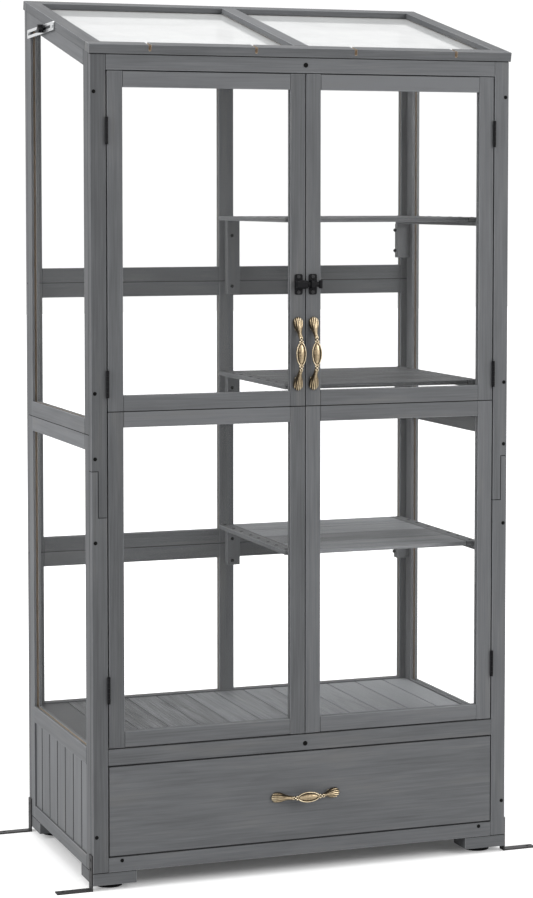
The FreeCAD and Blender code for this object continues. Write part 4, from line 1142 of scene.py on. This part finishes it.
def screw_tree():
    tree = bpy.data.node_groups.new("Screw heads", "GeometryNodeTree")
    interface = tree.interface
    interface.new_socket("Geometry", in_out="INPUT", socket_type="NodeSocketGeometry")
    for label, kind in (("Head Radius", "NodeSocketFloat"), ("Head Height", "NodeSocketFloat"),
                        ("Seed", "NodeSocketInt")):
        interface.new_socket(label, in_out="INPUT", socket_type=kind)
    interface.new_socket("Head Material", in_out="INPUT", socket_type="NodeSocketMaterial")
    interface.new_socket("Geometry", in_out="OUTPUT", socket_type="NodeSocketGeometry")
    add, link = tree.nodes.new, tree.links.new
    start, end = add("NodeGroupInput"), add("NodeGroupOutput")

    def scaled(value, factor):
        node = add("ShaderNodeMath")
        node.operation = "MULTIPLY"
        link(value, node.inputs[0])
        node.inputs[1].default_value = factor
        return node.outputs[0]

    radius, height = start.outputs["Head Radius"], start.outputs["Head Height"]
    disc = add("GeometryNodeMeshCylinder")
    disc.inputs["Vertices"].default_value = HEAD_SIDES
    link(radius, disc.inputs["Radius"])
    link(height, disc.inputs["Depth"])
    cross = []
    for wide, tall in ((CROSS_LENGTH, CROSS_WIDTH), (CROSS_WIDTH, CROSS_LENGTH)):
        size = add("ShaderNodeCombineXYZ")
        link(scaled(radius, wide), size.inputs["X"])
        link(scaled(radius, tall), size.inputs["Y"])
        link(height, size.inputs["Z"])
        bar = add("GeometryNodeMeshCube")
        link(size.outputs[0], bar.inputs["Size"])
        lift = add("ShaderNodeCombineXYZ")
        link(scaled(height, 0.6), lift.inputs["Z"])
        moved = add("GeometryNodeTransform")
        link(bar.outputs["Mesh"], moved.inputs["Geometry"])
        link(lift.outputs[0], moved.inputs["Translation"])
        cross.append(moved.outputs[0])
    head = add("GeometryNodeMeshBoolean")
    head.operation = "DIFFERENCE"
    link(disc.outputs["Mesh"], head.inputs["Mesh 1"])
    for bar in cross:
        link(bar, head.inputs["Mesh 2"])
    facing = add("GeometryNodeInputNamedAttribute")
    facing.data_type = "FLOAT_VECTOR"
    facing.inputs["Name"].default_value = "facing"
    aim = add("FunctionNodeAlignRotationToVector")
    aim.axis = "Z"
    link(facing.outputs["Attribute"], aim.inputs["Vector"])
    angle = add("FunctionNodeRandomValue")
    angle.data_type = "FLOAT"
    angle.inputs[3].default_value = math.pi / 2
    link(start.outputs["Seed"], angle.inputs["Seed"])
    spin = add("FunctionNodeAxisAngleToRotation")
    spin.inputs["Axis"].default_value = (0, 0, 1)
    link(angle.outputs[1], spin.inputs["Angle"])
    turned = add("FunctionNodeRotateRotation")
    turned.rotation_space = "LOCAL"
    link(aim.outputs["Rotation"], turned.inputs["Rotation"])
    link(spin.outputs["Rotation"], turned.inputs["Rotate By"])
    spread = add("GeometryNodeInstanceOnPoints")
    link(start.outputs["Geometry"], spread.inputs["Points"])
    link(head.outputs["Mesh"], spread.inputs["Instance"])
    link(turned.outputs["Rotation"], spread.inputs["Rotation"])
    real = add("GeometryNodeRealizeInstances")
    link(spread.outputs["Instances"], real.inputs["Geometry"])
    paint = add("GeometryNodeSetMaterial")
    link(real.outputs["Geometry"], paint.inputs["Geometry"])
    link(start.outputs["Head Material"], paint.inputs["Material"])
    link(paint.outputs["Geometry"], end.inputs["Geometry"])
    return tree


screws = screw_tree()


def screw_set(name, body, spots, radius, height, material):
    """Screw heads at (x, y, z) in millimetres, each with its outward direction."""
    mesh = bpy.data.meshes.new(name + "_points")
    mesh.from_pydata([Vector(p) * mm for p, _ in spots], [], [])
    facing = mesh.attributes.new("facing", "FLOAT_VECTOR", "POINT")
    for i, (_, way) in enumerate(spots):
        facing.data[i].vector = way
    maker = bpy.data.objects.new(name + "_maker", mesh)
    bpy.context.collection.objects.link(maker)
    modifier = maker.modifiers.new("Screws", "NODES")
    modifier.node_group = screws
    values = {"Head Radius": radius * mm, "Head Height": height * mm, "Seed": SCREW_SEED,
              "Head Material": material}
    for item in screws.interface.items_tree:
        if item.in_out == "INPUT" and item.name in values:
            modifier[item.identifier] = values[item.name]
    graph = bpy.context.evaluated_depsgraph_get()
    heads = bpy.data.meshes.new_from_object(maker.evaluated_get(graph))
    heads.name = name
    bpy.data.objects.remove(maker)
    piece = place_piece(name, heads, body)
    return len(heads.polygons)


print("screw tree nodes:", len(screws.nodes))

# %% [markdown]
# Where the screws sit. The places are in millimetres from the shared origin, so
# the front of the posts is at Y = -228. Members that the photo shows screwed
# have theirs where it shows them, and the rest follow the same habit. With the
# height of each shelf's top stands how far below it the screws of its middle
# block sit.

# %% Place the screws
FRONT, BACK = -228.0, 228.0
PLATE_THICKNESS = 1.9
POST_X, FOOT_BLOCK_X, ANCHOR_X, LATCH_X = 393.5, 347, 402.6, 13.7
FRONT_HEIGHTS = (97, 621, 769, 884, 1410)
BACK_HEIGHTS = (97, 460, 700, 980, 1150, 1500)
FOOT_HEIGHT, LATCH_HEIGHT = 52, 1070.5
SHELF_TOPS = {581: (28, 71), 885: (33, 70), 1189: (38, 137)}
BLOCK_FRONT, MIDDLE_BLOCK_X, CORNER_BLOCK_X = 198, 7, 353
SLATS, FIRST_SLAT, SLAT_PITCH = 4, -170, 98.4
out_front, out_back, up = (0, -1, 0), (0, 1, 0), (0, 0, 1)

frame_spots = []
for side in (-1, 1):
    frame_spots += [((side * POST_X, FRONT, z), out_front) for z in FRONT_HEIGHTS]
    frame_spots += [((side * FOOT_BLOCK_X, FRONT, FOOT_HEIGHT), out_front)]
    frame_spots += [((side * POST_X, BACK, z), out_back) for z in BACK_HEIGHTS]
for top, downs in SHELF_TOPS.items():
    frame_spots += [((MIDDLE_BLOCK_X, BLOCK_FRONT, top - down), out_front) for down in downs]
    frame_spots += [((CORNER_BLOCK_X, BLOCK_FRONT, top - down), out_front) for down in (29, 70)]
    for x in (-8, 362):
        for k in range(SLATS):
            start = FIRST_SLAT + k * SLAT_PITCH
            frame_spots += [((x, start + 20, top), up), ((x, start + 74, top), up)]
made = screw_set("frame_screws", "frame", frame_spots, 3.4, 1.0, screw_head)
rail_spots = [((0, FRONT, z), out_front) for z in (236, 1462)]
screw_set("rail_screws", "frame", rail_spots, 4.3, 1.2, screw_head)
for side, door in ((-1, "left_door"), (1, "right_door")):
    heights = [LATCH_HEIGHT + above for above in (-14, 14)]
    plate = [((side * LATCH_X, FRONT - PLATE_THICKNESS, z), out_front) for z in heights]
    screw_set(door + "_latch_screws", door, plate, 3.1, 1.6, black_screw)
legs = []
for side in (-1, 1):
    legs += [((side * ANCHOR_X, y, z), (side, 0, 0)) for y in (-217, 217) for z in (38, 54)]
screw_set("anchor_screws", "frame", legs, 3.0, 1.4, black_screw)
print("frame screws:", len(frame_spots), "faces:", made)
